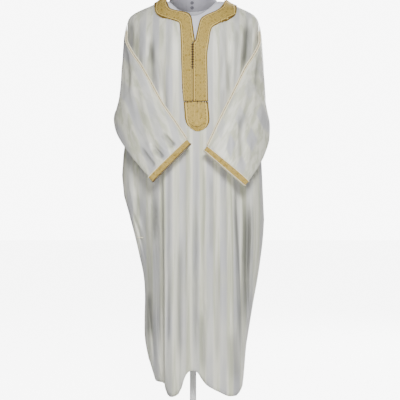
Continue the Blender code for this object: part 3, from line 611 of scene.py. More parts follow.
def tree_of(*nodes):
    """A search tree over the triangles of CAD nodes."""
    points, faces = [], []
    for node in nodes:
        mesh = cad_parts[node].data
        first = len(points)
        points += [v.co.copy() for v in mesh.vertices]
        faces += [[first + i for i in face.vertices] for face in mesh.polygons]
    return BVHTree.FromPolygons(points, faces)


def front_hit(tree, x, height):
    """Where a level ray from the front meets a tree's surface, in metres."""
    return tree.ray_cast(Vector((x, -RAY_START, height)), Vector((0, 1, 0)))[0]


def middle_of(node):
    low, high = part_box(node)
    return (low + high) / 2


def clear_of(tree, point, near, far):
    """0 within near of a tree's surface, and 1 beyond far."""
    distance = tree.find_nearest(point, far)[3]
    return 1.0 if distance is None else ease((distance - near) / (far - near))


def shoulder_height(x):
    """Height of the shoulder line at an x, in millimetres."""
    for (near, high), (far, low) in zip(SHOULDER, SHOULDER[1:]):
        if abs(x) <= far:
            return high + (low - high) * (abs(x) - near) / (far - near)
    return SHOULDER[-1][1]


def fade_ends(along, overrun, fade):
    """1 along a crease, and 0 from where it has run on past its ends by its overrun."""
    return ease((along + overrun) / fade) * ease((1 + overrun - along) / fade)


def panel_crease(creases, x, height):
    """How far the creases of a panel move its cloth outwards at a place, in millimetres."""
    total = 0.0
    for top_x, top_height, low_x, low_height, half_width, rise in creases:
        along = (top_height - height) / (top_height - low_height)
        ends = fade_ends(along, *PANEL_FADE)
        if not ends:
            continue
        sway = 5 * noise.noise(Vector((top_x * 0.37, height * 0.006, rise)))
        aside = (x - top_x - (low_x - top_x) * along - sway) / half_width
        if abs(aside) < 1:
            uneven = 0.8 + 0.7 * noise.noise(Vector((top_x * 0.11, height * 0.004, 4.0)))
            total += rise * ends * uneven * (1 - aside * aside) ** 2
    return total


def panel_painted_shade(x, height):
    """How much painted shade the folds of the front get at a place, from 0 to 1."""
    total = 0.0
    for top_x, top_height, low_x, low_height, half_width, share in FRONT_PAINTED_SHADES:
        along = (top_height - height) / (top_height - low_height)
        aside = abs(x - top_x - (low_x - top_x) * along) / half_width
        if aside < 1:
            total += share * fade_ends(along, *SHADE_FADE) * (1 - aside * aside)
    return total


def write_painted_shade(piece, shades):
    """Keep the folds' painted shade as the piece's own attribute; turned cloth gets painted shade too.
    """
    layer = piece.data.attributes.new("fold", "FLOAT", "POINT")
    for vertex, shade in zip(piece.data.vertices, shades):
        # Painted shade: cloth that turns aside is coloured darker
        turned = abs(vertex.normal.x) ** 1.5 * TURNED_SHADE
        layer.data[vertex.index].value = min(shade + turned, DARKEST)


def line_distance(point, start, end):
    """Distance of a point from a line's middle part, and how far along it the point is."""
    line = end - start
    along = (point - start).dot(line) / line.length_squared
    return (point - start - line * min(max(along, 0.0), 1.0)).length, along


def sleeve_crease(creases, point):
    """How far the creases of a sleeve move its cloth outwards at a point, in millimetres."""
    total = 0.0
    for x1, y1, z1, x2, y2, z2, reach, rise in creases:
        start, end = Vector((x1, y1, z1)), Vector((x2, y2, z2))
        distance, along = line_distance(point, start, end)
        if distance < reach:
            total += rise * fade_ends(along, *SLEEVE_FADE) * (1 - (distance / reach) ** 2) ** 2
    return total


def make_panel(node, sign, creases, material):
    """A panel of cloth: the CAD panel made smooth, with its finer creases."""
    piece = link_piece(node + "_cloth", joined_copy(node), material)
    keep_rims(piece.data)
    subdivide(piece, 2)
    trims = ["braid_left", "braid_right", "placket_tab", "bar_tack"] if sign < 0 else ["braid_back"]
    trims += ["form_torso"]
    covered = tree_of(*trims)
    side_x = middle_of(node).x
    strength = look("cloth").crease
    shades = []
    for vertex in piece.data.vertices:
        point = vertex.co
        x, height = point.x / MM, point.z / MM
        free = clear_of(covered, point, *PANEL_CLEAR) * ease((abs(point.y) - 0.004) / 0.03)
        shift = panel_crease(creases, x, height)
        small = 0.0
        for across, down, layer, rise in PANEL_WAVES:
            small += noise.noise(Vector((x * across, height * down, sign * layer))) * rise
        vertex.co.y += sign * (shift + small) * strength * free * MM
        vertex.co.x += hem_flare(x, height) * MM
        if sign < 0:
            vertex.co.y -= slit_ripple(x, height) * ease((x - 62) / 8) * MM
            vertex.co.y -= side_pucker(x, height, point.x < side_x) * MM
        # Painted shade: the listed bands of the front and the crease troughs darken the colour
        shade = panel_painted_shade(x, height) if sign < 0 else 0.0
        shades.append((shade + max(-shift, 0) * PANEL_DIP_SHADE) * free)
    piece.data.update()
    write_painted_shade(piece, shades)
    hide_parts(node)
    return piece


def hem_flare(x, height):
    """How far the right corner of the hem swings out, in millimetres."""
    return 7 * ease((x - 110) / 50) * ease((300 - height) / 170)


def slit_ripple(x, height):
    """Small level ripples right of the placket's lower end, where the braid draws in the cloth."""
    beside = max(0.0, 1 - abs(x - 78) / 20)
    near = max(0.0, 1 - abs(height - 1185) / 45)
    return 1.8 * math.sin(height * math.tau / 15 + x * 0.05) * beside * near


def side_pucker(x, height, on_left):
    """Short gathers next to a side seam of the front."""
    total = 0.0
    for side, top, low, pitch, rise in FRONT_PUCKERS:
        if (side == "left") != on_left or not low < height < top:
            continue
        edge = side_edge(side, height)
        near = 1 - min(abs(x - edge) / 30, 1.0)
        ends = ease((top - height) / 40) * ease((height - low) / 40)
        wave = noise.noise(Vector((height / pitch, x * 0.05, len(side))))
        total += rise * wave * near * ends
    return total


@cache
def side_edges():
    """The x of both sides of the front panel for each 10 mm of height."""
    edges = {}
    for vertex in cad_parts["front"].data.vertices:
        key = round(vertex.co.z * 100)
        x = vertex.co.x / MM
        low, high = edges.get(key, (0, 0))
        edges[key] = (min(low, x), max(high, x))
    return edges


def side_edge(side, height):
    """The x of the front panel's side at a height, both in millimetres."""
    edges = side_edges()
    key = round(height / 10)
    while key not in edges:
        key += 1
    return edges[key][0 if side == "left" else 1]


def make_sleeve(side, creases, material):
    """A sleeve of cloth: the CAD sleeve made smooth, with its creases."""
    node = "sleeve_" + side
    piece = link_piece(node + "_cloth", joined_copy(node), material)
    subdivide(piece, 3)
    covered = tree_of("sleeve_cord_" + side, "cuff_" + side, "front", "back")
    strength = look("cloth").crease
    shades = []
    for vertex in piece.data.vertices:
        point = vertex.co.copy()
        out = Vector((point.x, point.y, 0)).normalized()
        free = clear_of(covered, point, *SLEEVE_CLEAR)
        shift = sleeve_crease(creases, point / MM)
        small = sum(noise.noise(point * scale) * rise for scale, rise in SLEEVE_WAVES)
        vertex.co += out * (shift + small) * strength * free * MM
        # Painted shade: crease troughs and dips of the small waves darken the colour
        shades.append(max(-shift - small, 0) * SLEEVE_DIP_SHADE * free)
    piece.data.update()
    write_painted_shade(piece, shades)
    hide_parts(node)
    return piece


class Strip:
    """A grid of points on a CAD node's outer face, from its inner edge to its outer edge."""

    def __init__(self, node, edges, sign, step, columns):
        self.tree = tree_of(node)
        self.sign = sign
        self.rows = []
        self.along = []
        self.width = 0.0
        for in_x, in_drop, out_x, out_drop in self.finer(edges, step):
            row = []
            for j in range(columns + 1):
                t = j / columns
                row.append(self.place(in_x + (out_x - in_x) * t, in_drop + (out_drop - in_drop) * t))
            self.rows.append(row)
        if edges[0][1] == RIDGE:
            self.rows = self.over_ridge(self.rows[0]) + self.rows
        if edges[-1][1] == RIDGE:
            self.rows += self.over_ridge(self.rows[-1])[::-1]
        length, middle = 0.0, columns // 2
        for i, row in enumerate(self.rows):
            if i:
                length += (row[middle] - self.rows[i - 1][middle]).length / MM
            self.along.append(length)
            self.width = max(self.width, (row[-1] - row[0]).length / MM)

    def drop(self, x, height):
        """How far a height lies below the shoulder line."""
        return max(shoulder_height(x) - height, 0.0)

    def place(self, x, drop):
        """The point of the node's outer face at an x and a drop below the shoulder line."""
        height = shoulder_height(x) - 0.3 - drop
        start = Vector((x * MM, self.sign * RAY_START, height * MM))
        hit = self.tree.ray_cast(start, Vector((0, -self.sign, 0)))[0]
        if hit is None:
            hit = self.tree.find_nearest(Vector((x * MM, self.sign * 0.12, height * MM)))[0]
        return hit

    def over_ridge(self, first):
        """Rows from the shoulder line down to the first row, where the cloth is nearly level."""
        rows = []
        for share in (0.0, 0.2, 0.4, 0.6, 0.8):
            row = []
            for point in first:
                y = self.sign * 0.8 * MM * (1 - share) + point.y * share
                hit = self.tree.ray_cast(Vector((point.x, y, 2)), Vector((0, 0, -1)))[0]
                row.append(hit or self.tree.find_nearest(Vector((point.x, y, point.z)))[0])
            rows.append(row)
        return rows

    def finer(self, edges, step):
        """The edge pairs, as drops below the ridge, read smoothly in steps of about one length."""
        coarse = []
        for in_x, in_height, out_x, out_height in edges:
            coarse.append((in_x, self.drop(in_x, in_height), out_x, self.drop(out_x, out_height)))
        fine = []
        for i in range(len(coarse) - 1):
            four = [item_at(coarse, i + k) for k in (-1, 0, 1, 2)]
            start, end = four[1:3]
            length = max(math.dist(start[:2], end[:2]), math.dist(start[2:], end[2:]))
            count = max(int(length / step), 1)
            for k in range(count):
                fine.append([smooth_between(*values, k / count) for values in zip(*four)])
        fine.append(list(coarse[-1]))
        for row in fine:
            row[1], row[3] = max(row[1], 0.0), max(row[3], 0.0)
        return fine


def smooth_between(before, start, end, after, t):
    """A value between start and end on a curve that doesn't overshoot."""
    lean_in, lean_out = (end - before) / 2, (after - start) / 2
    if (end - start) * (start - before) <= 0:
        lean_in = 0.0
    if (after - end) * (end - start) <= 0:
        lean_out = 0.0
    t2, t3 = t * t, t * t * t
    return ((2 * t3 - 3 * t2 + 1) * start + (t3 - 2 * t2 + t) * lean_in
            + (-2 * t3 + 3 * t2) * end + (t3 - t2) * lean_out)


def make_braid(name, node, edges, sign, step=2.6, columns=48):
    """A sewn braid of raised cords, with its back, on the place of a CAD braid."""
    strip = Strip(node, edges, sign, step, columns)
    pitch = look("trim").cord_pitch / MM
    bm = bmesh.new()
    uv = bm.loops.layers.uv.new("braid")
    places, grid = {}, []
    count = len(strip.rows)
    for i, row in enumerate(strip.rows):
        line = []
        ahead, behind = item_at(strip.rows, i + 1), item_at(strip.rows, i - 1)
        for j, point in enumerate(row):
            level = item_at(row, j + 1) - item_at(row, j - 1)
            out = level.cross(ahead[j] - behind[j]).normalized()
            if out.dot(Vector((0, sign, 0.4))) < 0:
                out = -out
            across = (point - row[0]).length / MM
            width = (row[-1] - row[0]).length / MM
            cord = abs(math.sin(math.pi * across / pitch))
            from_edge = min(across, width - across)
            crest = BRAID_CREST * cord ** 0.6 + (EDGE_RISE if from_edge < pitch * 1.05 else 0.0)
            vertex = bm.verts.new(point + out * (crest + BRAID_LIFT) * MM)
            places[vertex] = (strip.along[i], across * strip.width / max(width, 1.0))
            line.append(vertex)
        grid.append(line)
    for i in range(count - 1):
        for j in range(columns):
            corners = (grid[i][j], grid[i][j + 1], grid[i + 1][j + 1], grid[i + 1][j])
            if len({tuple(v.co) for v in corners}) == 4:
                bm.faces.new(corners)
    for face in bm.faces:
        for loop in face.loops:
            loop[uv].uv = places[loop.vert]
    bmesh.ops.recalc_face_normals(bm, faces=bm.faces)
    bm.faces.ensure_lookup_table()
    middle = bm.faces[len(bm.faces) // 2]
    if middle.normal.dot(Vector((0, sign, 0))) < 0:
        bmesh.ops.reverse_faces(bm, faces=bm.faces)
    mesh = bpy.data.meshes.new(name)
    bm.to_mesh(mesh)
    bm.free()
    mesh.shade_smooth()
    piece = link_piece(name, mesh, braid(name + "_thread", strip.width))
    solidify = piece.modifiers.new("Wall", "SOLIDIFY")
    solidify.thickness = BRAID_THICKNESS * MM
    solidify.offset = -1.0
    apply_modifiers(piece)
    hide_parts(node)
    return piece, strip


def smooth_line(points, step=3.0):
    """Points along a smooth line through the given ones, about a step apart, in millimetres."""
    line = []
    for i in range(len(points) - 1):
        four = [item_at(points, i + k) for k in (-1, 0, 1, 2)]
        count = max(int((Vector(points[i + 1]) - Vector(points[i])).length / step), 1)
        for k in range(count):
            line.append(Vector([round_between(*values, k / count) for values in zip(*four)]))
    line.append(Vector(points[-1]))
    return line


def round_between(before, start, end, after, t):
    """A value on the round curve through four values, between the middle two."""
    t2, t3 = t * t, t * t * t
    return 0.5 * (2 * start + (end - before) * t + (2 * before - 5 * start + 4 * end - after) * t2
                  + (3 * start - before - 3 * end + after) * t3)


def make_tube(name, lines, radius, material, resolution=3, closed=False):
    """Round cords through lines of points in metres, as one mesh."""
    curve = bpy.data.curves.new(name, "CURVE")
    curve.dimensions = "3D"
    curve.bevel_depth = radius
    curve.bevel_resolution = resolution
    curve.use_fill_caps = True
    for line in lines:
        spline = curve.splines.new("POLY")
        spline.points.add(len(line) - 1)
        for place, point in zip(spline.points, line):
            place.co = (*point, 1.0)
        spline.use_cyclic_u = closed
    holder = add_object(name + "_line", curve)
    bpy.context.view_layer.update()
    mesh = bpy.data.meshes.new_from_object(holder.evaluated_get(bpy.context.evaluated_depsgraph_get()))
    bpy.data.objects.remove(holder)
    mesh.shade_smooth()
    return link_piece(name, mesh, material)


def make_twist(name, line, radius, strands, turn_length, material):
    """A cord of twisted strands round a line of points in metres."""
    strand = radius / (1 + 1 / math.sin(math.pi / strands))
    lines = []
    for s in range(strands):
        points, length = [], 0.0
        for i, point in enumerate(line):
            ahead = item_at(line, i + 1) - item_at(line, i - 1)
            if i:
                length += (point - line[i - 1]).length
            side = ahead.cross(Vector((0.3, 1, 0.2))).normalized()
            up = ahead.cross(side).normalized()
            turn = math.tau * (length / turn_length + s / strands)
            points.append(point + (side * math.cos(turn) + up * math.sin(turn)) * (radius - strand))
        lines.append(points)
    return make_tube(name, lines, strand, material, resolution=2)


def cord_middle(node, step):
    """The middle line of a CAD cord, from top to bottom, read from its rings of points.

    It is in metres, and its points are about a step in millimetres apart.
    """
    reach = 4.5 * MM
    left = [v.co.copy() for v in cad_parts[node].data.vertices]
    rings = []
    while left:
        seed = max(left, key=lambda p: p.z)
        ring = [p for p in left if (p - seed).length < reach]
        left = [p for p in left if (p - seed).length >= reach]
        low, high = ring[0].copy(), ring[0].copy()
        for p in ring:
            low = Vector(map(min, low, p))
            high = Vector(map(max, high, p))
        rings.append((low + high) / 2 / MM)
    return [p * MM for p in smooth_line(rings, step)]


class MakeCloth(bpy.types.Operator):
    """Make the front and back panels and the two sleeves of ivory satin"""
    bl_idname = "robe.cloth"
    bl_label = "Panels and sleeves"

    def execute(self, context):
        panel = satin("ivory_satin_panels")
        make_panel("front", -1, FRONT_CREASES, panel)
        make_panel("back", 1, BACK_CREASES, panel)
        left = satin("ivory_satin_left_sleeve", SLEEVE_TURN, (0.9, 0.5, 0.16))
        right = satin("ivory_satin_right_sleeve", -SLEEVE_TURN, (0.9, -0.5, -0.16), True)
        make_sleeve("left", LEFT_SLEEVE_CREASES, left)
        make_sleeve("right", RIGHT_SLEEVE_CREASES, right)
        return {"FINISHED"}


class MakeNeckBraid(bpy.types.Operator):
    """Make the gold braid round the neck and down the slit, with its cream edge"""
    bl_idname = "robe.neck_braid"
    bl_label = "Neck braid"

    def execute(self, context):
        trim = look("trim")
        cream = thread("cream_edge_thread", trim.cream)
        olive = thread("olive_edge_thread", trim.gold_dark, 0.55, 0.2)
        parts = (("left", LEFT_BRAID, -1), ("right", RIGHT_BRAID, -1), ("back", BACK_BRAID, 1))
        for side, edges, sign in parts:
            _, strip = make_braid(f"neck_braid_{side}", "braid_" + side, edges, sign)
            outer = [row[-1] + (row[-1] - row[-2]).normalized() * 0.9 * MM for row in strip.rows]
            outer = [p + forward(0.6 * sign) for p in outer]
            make_tube(f"neck_braid_edge_{side}", [outer], 0.9 * MM, cream, 1)
            inner = [row[0].lerp(row[1], 0.2) + forward(-0.3 * sign) for row in strip.rows]
            make_tube(f"neck_braid_cord_{side}", [inner], 1.0 * MM, olive, 1)
        return {"FINISHED"}


class MakePlacket(bpy.types.Operator):
    """Make the tab with its raised figures, the placket cord and the knots in their loops"""
    bl_idname = "robe.placket"
    bl_label = "Placket, tab and knots"

    def execute(self, context):
        trim = look("trim")
        _, strip = make_braid("placket_tab_braid", "placket_tab", TAB, -1, step=2.0, columns=54)
        cream = thread("cream_tab_thread", trim.cream)
        light = thread("light_gold_thread", trim.gold_light, 0.5, 0.3)
        olive = thread("olive_gold_thread", trim.gold_dark, 0.55, 0.3)
        rim = [row[0] for row in strip.rows] + [row[-1] for row in reversed(strip.rows)]
        middle = Vector((14 * MM, rim[0].y, 1130 * MM))
        rim = [p + (p - middle).normalized() * 0.8 * MM + forward(-0.5) for p in rim]
        make_tube("tab_edge", [rim], 0.9 * MM, cream, 1)
        tree = tree_of("placket_tab", "braid_left", "braid_right")
        stems = [self.on_face(tree, line) for line in TAB_STEMS]
        make_tube("tab_stems", stems, 0.8 * MM, light, 2)
        make_tube("tab_arc", [self.on_face(tree, TAB_ARC)], 0.9 * MM, olive, 2)
        make_tube("tab_rosette", self.rosette(tree), 0.7 * MM, light, 1)
        make_tube("tab_stitches", self.stitches(tree), 0.7 * MM, light, 1)
        self.overlap_edge(tree, olive)
        cord = cord_middle("placket_cord", 1.2)
        piece = make_twist("placket_cord_twist", cord, 1.4 * MM, 2, 6 * MM, light)
        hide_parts("placket_cord")
        self.knots()
        return {"FINISHED"}

    def on_face(self, tree, line, lift=0.5):
        """A smooth line of cord laid on the braid's face, raised by a lift in millimetres."""
        points = []
        for point in smooth_line([(x, height, 0) for x, height in line], 1.5):
            x, height = point.x * MM, point.y * MM
            hit = front_hit(tree, x, height)
            if hit is None:
                hit = tree.find_nearest(Vector((x, -0.13, height)))[0]
            points.append(hit + forward(lift))
        return points

    def rosette(self, tree):
        """Six petals of cord round a middle."""
        x, height = TAB_ROSETTE
        petals = []
        for k in range(6):
            turn = math.tau * k / 6
            petal = []
            for i in range(9):
                swing = math.sin(math.pi * i / 8)
                out = 1.5 + 4.5 * swing
                side = turn + (i / 8 - 0.5) * 1.0
                petal.append((x + out * math.cos(side), height + out * math.sin(side) * 0.8))
            petals.append(self.on_face(tree, petal))
        return petals

    def stitches(self, tree):
        """Short level stitches down the tab's left side."""
        lines = []
        for i in range(11):
            height = 1170 - 4.6 * i
            x = TAB_STITCHES_X
            lines.append(self.on_face(tree, [(x - 3, height), (x + 3, height + 0.6)]))
        return lines

    def overlap_edge(self, tree, material):
        """The folded lower edge of the upper placket, with the dark stitches that hold it."""
        edges = [
            self.on_face(tree, [(-34, 1181.5), (-20, 1181), (-3, 1181)], 0.9),
            self.on_face(tree, [(1, 1180.5), (28, 1181), (56, 1181.5)], 0.9)]
        make_tube("placket_lower_edge", edges, 1.1 * MM, material, 2)
        dark = thread("dark_stitch_thread", look("trim").knot)
        bars = []
        for x, half in PLACKET_BARS:
            bars.append(self.on_face(tree, [(x, 1177 + half), (x + 0.5, 1177 - half)], 0.7))
        make_tube("placket_bar_stitches", bars, 1.5 * MM, dark, 1)

    def knots(self):
        """Knot buttons, each a ball of wound cord in a loop; one is made and the rest are copies."""
        material = thread("bronze_knot_thread", look("trim").knot, 0.55, 0.1)
        middle = middle_of("button_01")
        bpy.ops.mesh.primitive_uv_sphere_add(
            segments=16, ring_count=10, radius=KNOT_RADIUS * MM,
            location=middle + Vector((-1.5 * MM, 0, 0)))
        ball = bpy.context.object
        for vertex in ball.data.vertices:
            turn = math.atan2(vertex.co.z, vertex.co.y)
            vertex.co *= 1 + 0.10 * math.sin(3 * turn + vertex.co.x / MM * 2.2)
            vertex.co.x *= 1.25
        bpy.ops.object.transform_apply(location=True, rotation=True, scale=True)
        # The loop is an open oval of cord, its tails run to one side and the shank to the other
        loop = []
        for i in range(17):
            turn = math.pi * (0.22 + 1.56 * i / 16)
            loop.append(middle + Vector((3.6 * math.cos(turn) - 1.5, 0.5, 1.7 * math.sin(turn))) * MM)
        tails = [
            [middle + Vector((x, 0.4, z * (1 + (5 - x) * 0.02))) * MM for x in (0.9, 3, 5.2, 6.6)]
            for z in (0.9, -0.9)]
        shank = [middle + Vector((x, 0.5, 0)) * MM for x in (-3.5, -5, -6.7)]
        loops = make_tube("knot_loop", [loop, tails[0], tails[1], shank], 0.55 * MM, material,
                          1)
        activate(loops, ball)
        bpy.ops.object.join()
        first = bpy.context.object
        first.name = "knot_01"
        first.data.name = "knot_01"
        for material_slot in first.material_slots:
            material_slot.material = material
        first.data.shade_smooth()
        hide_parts("button_01")
        for i in range(2, KNOT_COUNT + 1):
            node = f"button_{i:02d}"
            mesh = first.data.copy()
            mesh.transform(Matrix.Translation(middle_of(node) - middle))
            piece = link_piece(f"knot_{i:02d}", mesh, material)
            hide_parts(node)


class MakeCuffs(bpy.types.Operator):
    """Make the ribbed gold cuff bands, with cream piping above and a cord below"""
    bl_idname = "robe.cuffs"
    bl_label = "Cuff bands"

    def execute(self, context):
        trim = look("trim")
        cream = thread("cream_cuff_thread", trim.cream, shadow=0.88)
        olive = thread("olive_cuff_thread", trim.gold_dark, 0.55, 0.2)
        for side in ("left", "right"):
            self.make(side, cream, olive)
        return {"FINISHED"}

    def make(self, side, cream, olive):
        """One band of ribbed braid, with a cord on each rim."""
        node = "cuff_" + side
        mesh = joined_copy(node)
        down, over = (Vector(way).normalized() for way in CUFF_WAYS[side])
        low = min(v.co.dot(down) for v in mesh.vertices)
        high = max(v.co.dot(down) for v in mesh.vertices)
        width = (high - low) / MM
        gold = braid(f"cuff_thread_{side}", width, False)
        piece = link_piece(f"cuff_band_{side}", mesh, gold)
        subdivide(piece, 3)
        uv = piece.data.uv_layers.new(name="braid")
        for loop in piece.data.loops:
            point = piece.data.vertices[loop.vertex_index].co
            uv.data[loop.index].uv = ((point.dot(down) - low) / MM, point.dot(over) / MM)
        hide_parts(node)
        rims = ((-1, "piping", 2.0, cream, "cream_cord"),
                (1, "edge", 1.4, olive if side == "left" else cream, "gold_braid"))
        for toward, word, radius, material, slot in rims:
            ring = self.rim(node, down, over, toward)
            make_tube(f"cuff_{word}_{side}", [ring], radius * MM, material, 2, closed=True)

    def rim(self, node, down, over, toward):
        """A line round the outside of the band along one of its edges, found by rays."""
        tree = tree_of(node)
        along = (over - down * over.dot(down)).normalized()
        aside = down.cross(along)
        points = [vertex.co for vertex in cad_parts[node].data.vertices]
        middle = sum(points, Vector()) / len(points)
        reach = max(abs((p - middle).dot(along)) for p in points) - 2 * MM
        ring = []
        for i in range(2 * RIM_POINTS):
            way = -1 if i < RIM_POINTS else 1
            share = 1 - 2 * (i % RIM_POINTS) / (RIM_POINTS - 1)
            foot = middle + along * way * reach * share + aside * way * RIM_RAY_START
            edge = None
            for step in range(RIM_STEPS):
                hit = tree.ray_cast(foot + down * toward * step * RIM_STEP * MM, aside * -way)[0]
                if hit is None or (edge and (hit - edge).length > 3 * MM):
                    break
                edge = hit
            if edge:
                ring.append(edge + aside * way * 0.6 * MM)
        return ring


class MakeSleeveCords(bpy.types.Operator):
    """Make the cream piping with its olive cord along the top seam of each sleeve"""
    bl_idname = "robe.sleeve_cords"
    bl_label = "Sleeve cords"

    def execute(self, context):
        trim = look("trim")
        cream = thread("cream_sleeve_thread", trim.cream, shadow=0.88)
        middle_gold = tuple((a + b) / 2 for a, b in zip(trim.gold, trim.gold_dark))
        olive = thread("olive_sleeve_thread", middle_gold, 0.55, 0.2)
        for side, out in (("left", -1), ("right", 1)):
            node = "sleeve_cord_" + side
            line = cord_middle(node, 5)
            sleeve = tree_of("sleeve_" + side)
            top = max(point.z for point in line)
            lines, middle = [[], []], []
            for i, point in enumerate(line):
                ahead = item_at(line, i + 1) - item_at(line, i - 1)
                aside = ahead.cross(Vector((out * 0.35, -1, 0.15))).normalized()
                if aside.z > 0:
                    aside = -aside
                sewn_in = ease((point.z - top) / 0.05 + 1)
                raised = point + Vector((out * (0.5 - 6 * sewn_in), -1.6, 0.4 - 2 * sewn_in)) * MM
                below = raised + aside * PIPING_BELOW * MM
                above = raised - aside * PIPING_ABOVE * MM
                hit = front_hit(sleeve, below.x, below.z)
                if hit and abs(hit.y - below.y) < 0.02:
                    below.y = min(below.y, hit.y - 1.2 * MM)
                lines[0].append(below)
                lines[1].append(above)
                middle.append((below + above) / 2 + forward(2.0))
            piece = make_tube(f"sleeve_piping_{side}", lines, trim.piping, cream, 3)
            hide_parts(node)
            make_twist(f"sleeve_cord_twist_{side}", middle, 1.5 * MM, 2, 6 * MM, olive)
        return {"FINISHED"}


class MakeSeams(bpy.types.Operator):
    """Make the bar tack at the side slit, and the binding down both sides of the front"""
    bl_idname = "robe.seams"
    bl_label = "Bar tack and bindings"

    def execute(self, context):
        cream = thread("cream_tack_thread", look("trim").cream, 0.7, 0.0, 1.6, 0.95)
        low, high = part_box("bar_tack")
        tree = tree_of("bar_tack")
        wraps = []
        for i in range(TACK_WRAPS):
            x = low.x + (high.x - low.x) * (i + 0.5) / TACK_WRAPS
            middle = front_hit(tree, x, (low.z + high.z) / 2) + forward(1.2)
            wraps.append([middle + Vector((0.4, -0.4, 1.3)) * MM, middle + Vector((0, -0.9, 0)) * MM,
                          middle + Vector((-0.4, -0.4, -1.3)) * MM])
        piece = make_tube("bar_tack_thread", wraps, 1.2 * MM, cream, 1)
        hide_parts("bar_tack")
        pale = thread("cream_edge_binding", look("trim").cream, 0.7, 0.0, 3.0)
        for side, top, low in SIDE_BINDINGS:
            line = self.panel_side(side, top, low)
            make_tube(f"side_binding_{side}", [line], 2.0 * MM, pale, 2)
        return {"FINISHED"}

    def panel_side(self, side, top, low):
        """Points down the side of the front panel, where its edge is bound."""
        sign = -1 if side == "left" else 1
        seam = []
        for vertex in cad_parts["front"].data.vertices:
            x, y, height = vertex.co / MM
            if abs(y) < 2.5 and sign * x > 80 and low < height < top:
                seam.append((x + hem_flare(x, height), y - 2.2, height))
        seam.sort(key=lambda point: -point[2])
        line = [seam[0]]
        for point in seam[1:]:
            if line[-1][2] - point[2] > 8:
                line.append(point)
        return [p * MM for p in smooth_line(line, 6)]


class MakeForm(bpy.types.Operator):
    """Make the dress form: jersey torso, grey neck with its seam and snaps, cap, pole and foot"""
    bl_idname = "robe.form"
    bl_label = "Dress form"

    def execute(self, context):
        form = look("form")
        white = knit("white_jersey_knit", form.jersey)
        torso = link_piece("torso_jersey", joined_copy("form_torso"), white)
        subdivide(torso, 1)
        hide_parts("form_torso")
        grey = knit("grey_jersey_knit", form.neck, form.jersey[:])
        neck = link_piece("neck_jersey", joined_copy("form_neck"), grey)
        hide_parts("form_neck")
        self.finish_node("form_cap", powder_coat("white_cap_coat", form.paint))
        paint = powder_coat("white_stand_coat", form.paint)
        for node in ("form_pole", "form_socket", "form_foot"):
            self.finish_node(node, paint)
        nickel = dark_nickel("dark_snap_nickel", form.snap)
        for i in (1, 2):
            self.snap(i, nickel)
        self.neck_seam(form)
        return {"FINISHED"}

    def finish_node(self, node, material):
        """Give a CAD node, which is shown as it is, its material."""
        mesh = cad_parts[node].data
        mesh.materials.clear()
        mesh.materials.append(material)

    def snap(self, number, material):
        """A snap: a thin ring round a domed middle."""
        node = f"form_snap_{number}"
        middle = middle_of(node)
        bpy.ops.mesh.primitive_torus_add(
            major_radius=SNAP_RING * MM, minor_radius=SNAP_WIRE * MM, major_segments=32,
            minor_segments=10, location=middle, rotation=(math.radians(82), 0, 0))
        ring = bpy.context.object
        bpy.ops.mesh.primitive_uv_sphere_add(
            segments=20, ring_count=10, radius=SNAP_DOME * MM, location=middle)
        dome = bpy.context.object
        dome.scale.y = 0.5
        activate(ring, dome)
        bpy.ops.object.join()
        bpy.ops.object.transform_apply(location=True, rotation=True, scale=True)
        piece = bpy.context.object
        piece.name = f"neck_snap_{number}"
        piece.data.materials.clear()
        piece.data.materials.append(material)
        piece.data.shade_smooth()
        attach(piece, "root")
        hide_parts(node)

    def neck_seam(self, form):
        """The upright sewn line of the neck's cover, left of the snaps."""
        tree = tree_of("form_neck")
        line = []
        for i in range(40):
            height = NECK_SEAM_LOW + (NECK_SEAM_HIGH - NECK_SEAM_LOW) * i / 39
            hit = front_hit(tree, NECK_SEAM_X * MM, height * MM)
            if hit:
                line.append(hit + forward(-0.25))
        dark = thread("grey_seam_thread", tuple(c * 0.6 for c in form.neck))
        make_tube("neck_seam", [line], 0.6 * MM, dark, 1)


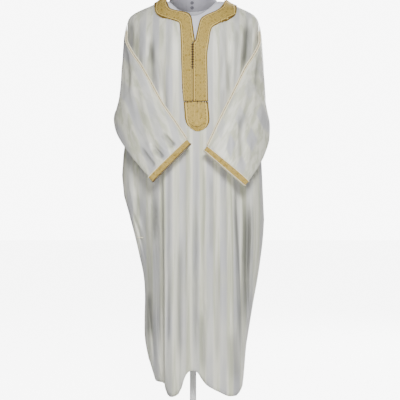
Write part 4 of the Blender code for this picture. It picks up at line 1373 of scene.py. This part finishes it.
class MakeStage(bpy.types.Operator):
    """Make the pale floor, the backdrop, the soft lights and the camera"""
    bl_idname = "robe.stage"
    bl_label = "Stage"

    def execute(self, context):
        stage = look("stage")
        self.floor(stage)
        world = bpy.data.worlds.new("studio")
        context.scene.world = world
        world.use_nodes = True
        tree = world.node_tree
        seen = add_node(tree, "light path", out="Is Camera Ray")
        strength = add_node(tree, "MULTIPLY_ADD", seen, BACKDROP_SEEN, BACKDROP_GLOW)
        fill_inputs(tree.nodes["Background"], {"Color": (1, 1, 1, 1), "Strength": strength})
        for name, place, target, size, share in LIGHTS:
            self.light(name, place, target, size, stage.key * share)
        camera = bpy.data.cameras.new("camera")
        camera.lens = CAMERA_LENS
        camera.sensor_width = 36
        camera.clip_end = 50
        upright = (math.radians(90), 0, 0)
        context.scene.camera = add_object("camera", camera, CAMERA_PLACE, upright)
        return {"FINISHED"}

    def floor(self, stage):
        material, add, shader = new_material("pale_floor", 0.9)
        glow = add("MULTIPLY", add("light path", out="Is Camera Ray"), FLOOR_SEEN)
        fill_inputs(shader, {
            "Base Color": rgba(stage.floor), "Specular IOR Level": 0.0,
            "Emission Color": (1, 1, 1, 1), "Emission Strength": glow})
        bpy.ops.mesh.primitive_plane_add(size=40, location=(0, 0, 0))
        plane = bpy.context.object
        plane.name = "floor"
        plane.data.materials.append(material)

    def light(self, name, place, target, size, power):
        lamp = bpy.data.lights.new(name, "AREA")
        lamp.shape = "SQUARE"
        lamp.size = size
        lamp.energy = power
        way = (Vector(target) - Vector(place)).to_track_quat("-Z", "Y")
        add_object(name, lamp, place, way.to_euler())


OPERATORS = (MakeCloth, MakeNeckBraid, MakePlacket, MakeCuffs, MakeSleeveCords, MakeSeams, MakeForm,
             MakeStage)


class ROBE_PT_pieces(bpy.types.Panel):
    """Lists the robe's pieces and their looks"""
    bl_label = "Robe"
    bl_idname = "ROBE_PT_pieces"
    bl_space_type = "VIEW_3D"
    bl_region_type = "UI"
    bl_category = "Robe"

    def draw(self, context):
        for operator in OPERATORS:
            self.layout.operator(operator.bl_idname)
        for group in GROUPS:
            settings = look(group)
            for name in settings.bl_rna.properties.keys():
                if name not in ("rna_type", "name"):
                    self.layout.prop(settings, name)


GROUPS = {"cloth": RobeCloth, "trim": RobeTrim, "form": RobeForm, "stage": RobeStage}


def register():
    for name, group in GROUPS.items():
        bpy.utils.register_class(group)
        setattr(bpy.types.Scene, "robe_" + name, bpy.props.PointerProperty(type=group))
    for operator in OPERATORS:
        bpy.utils.register_class(operator)
    bpy.utils.register_class(ROBE_PT_pieces)


def unregister():
    bpy.utils.unregister_class(ROBE_PT_pieces)
    for operator in reversed(OPERATORS):
        bpy.utils.unregister_class(operator)
    for name, group in GROUPS.items():
        delattr(bpy.types.Scene, "robe_" + name)
        bpy.utils.unregister_class(group)


def write_sizes():
    """Bring the view layer up to date."""
    bpy.context.view_layer.update()


def main():
    register()
    deselect_all()
    bpy.ops.robe.stage()
    bpy.ops.robe.cloth()
    bpy.ops.robe.neck_braid()
    bpy.ops.robe.placket()
    bpy.ops.robe.cuffs()
    bpy.ops.robe.sleeve_cords()
    bpy.ops.robe.seams()
    bpy.ops.robe.form()
    write_sizes()


if __name__ == "__main__":
    main()
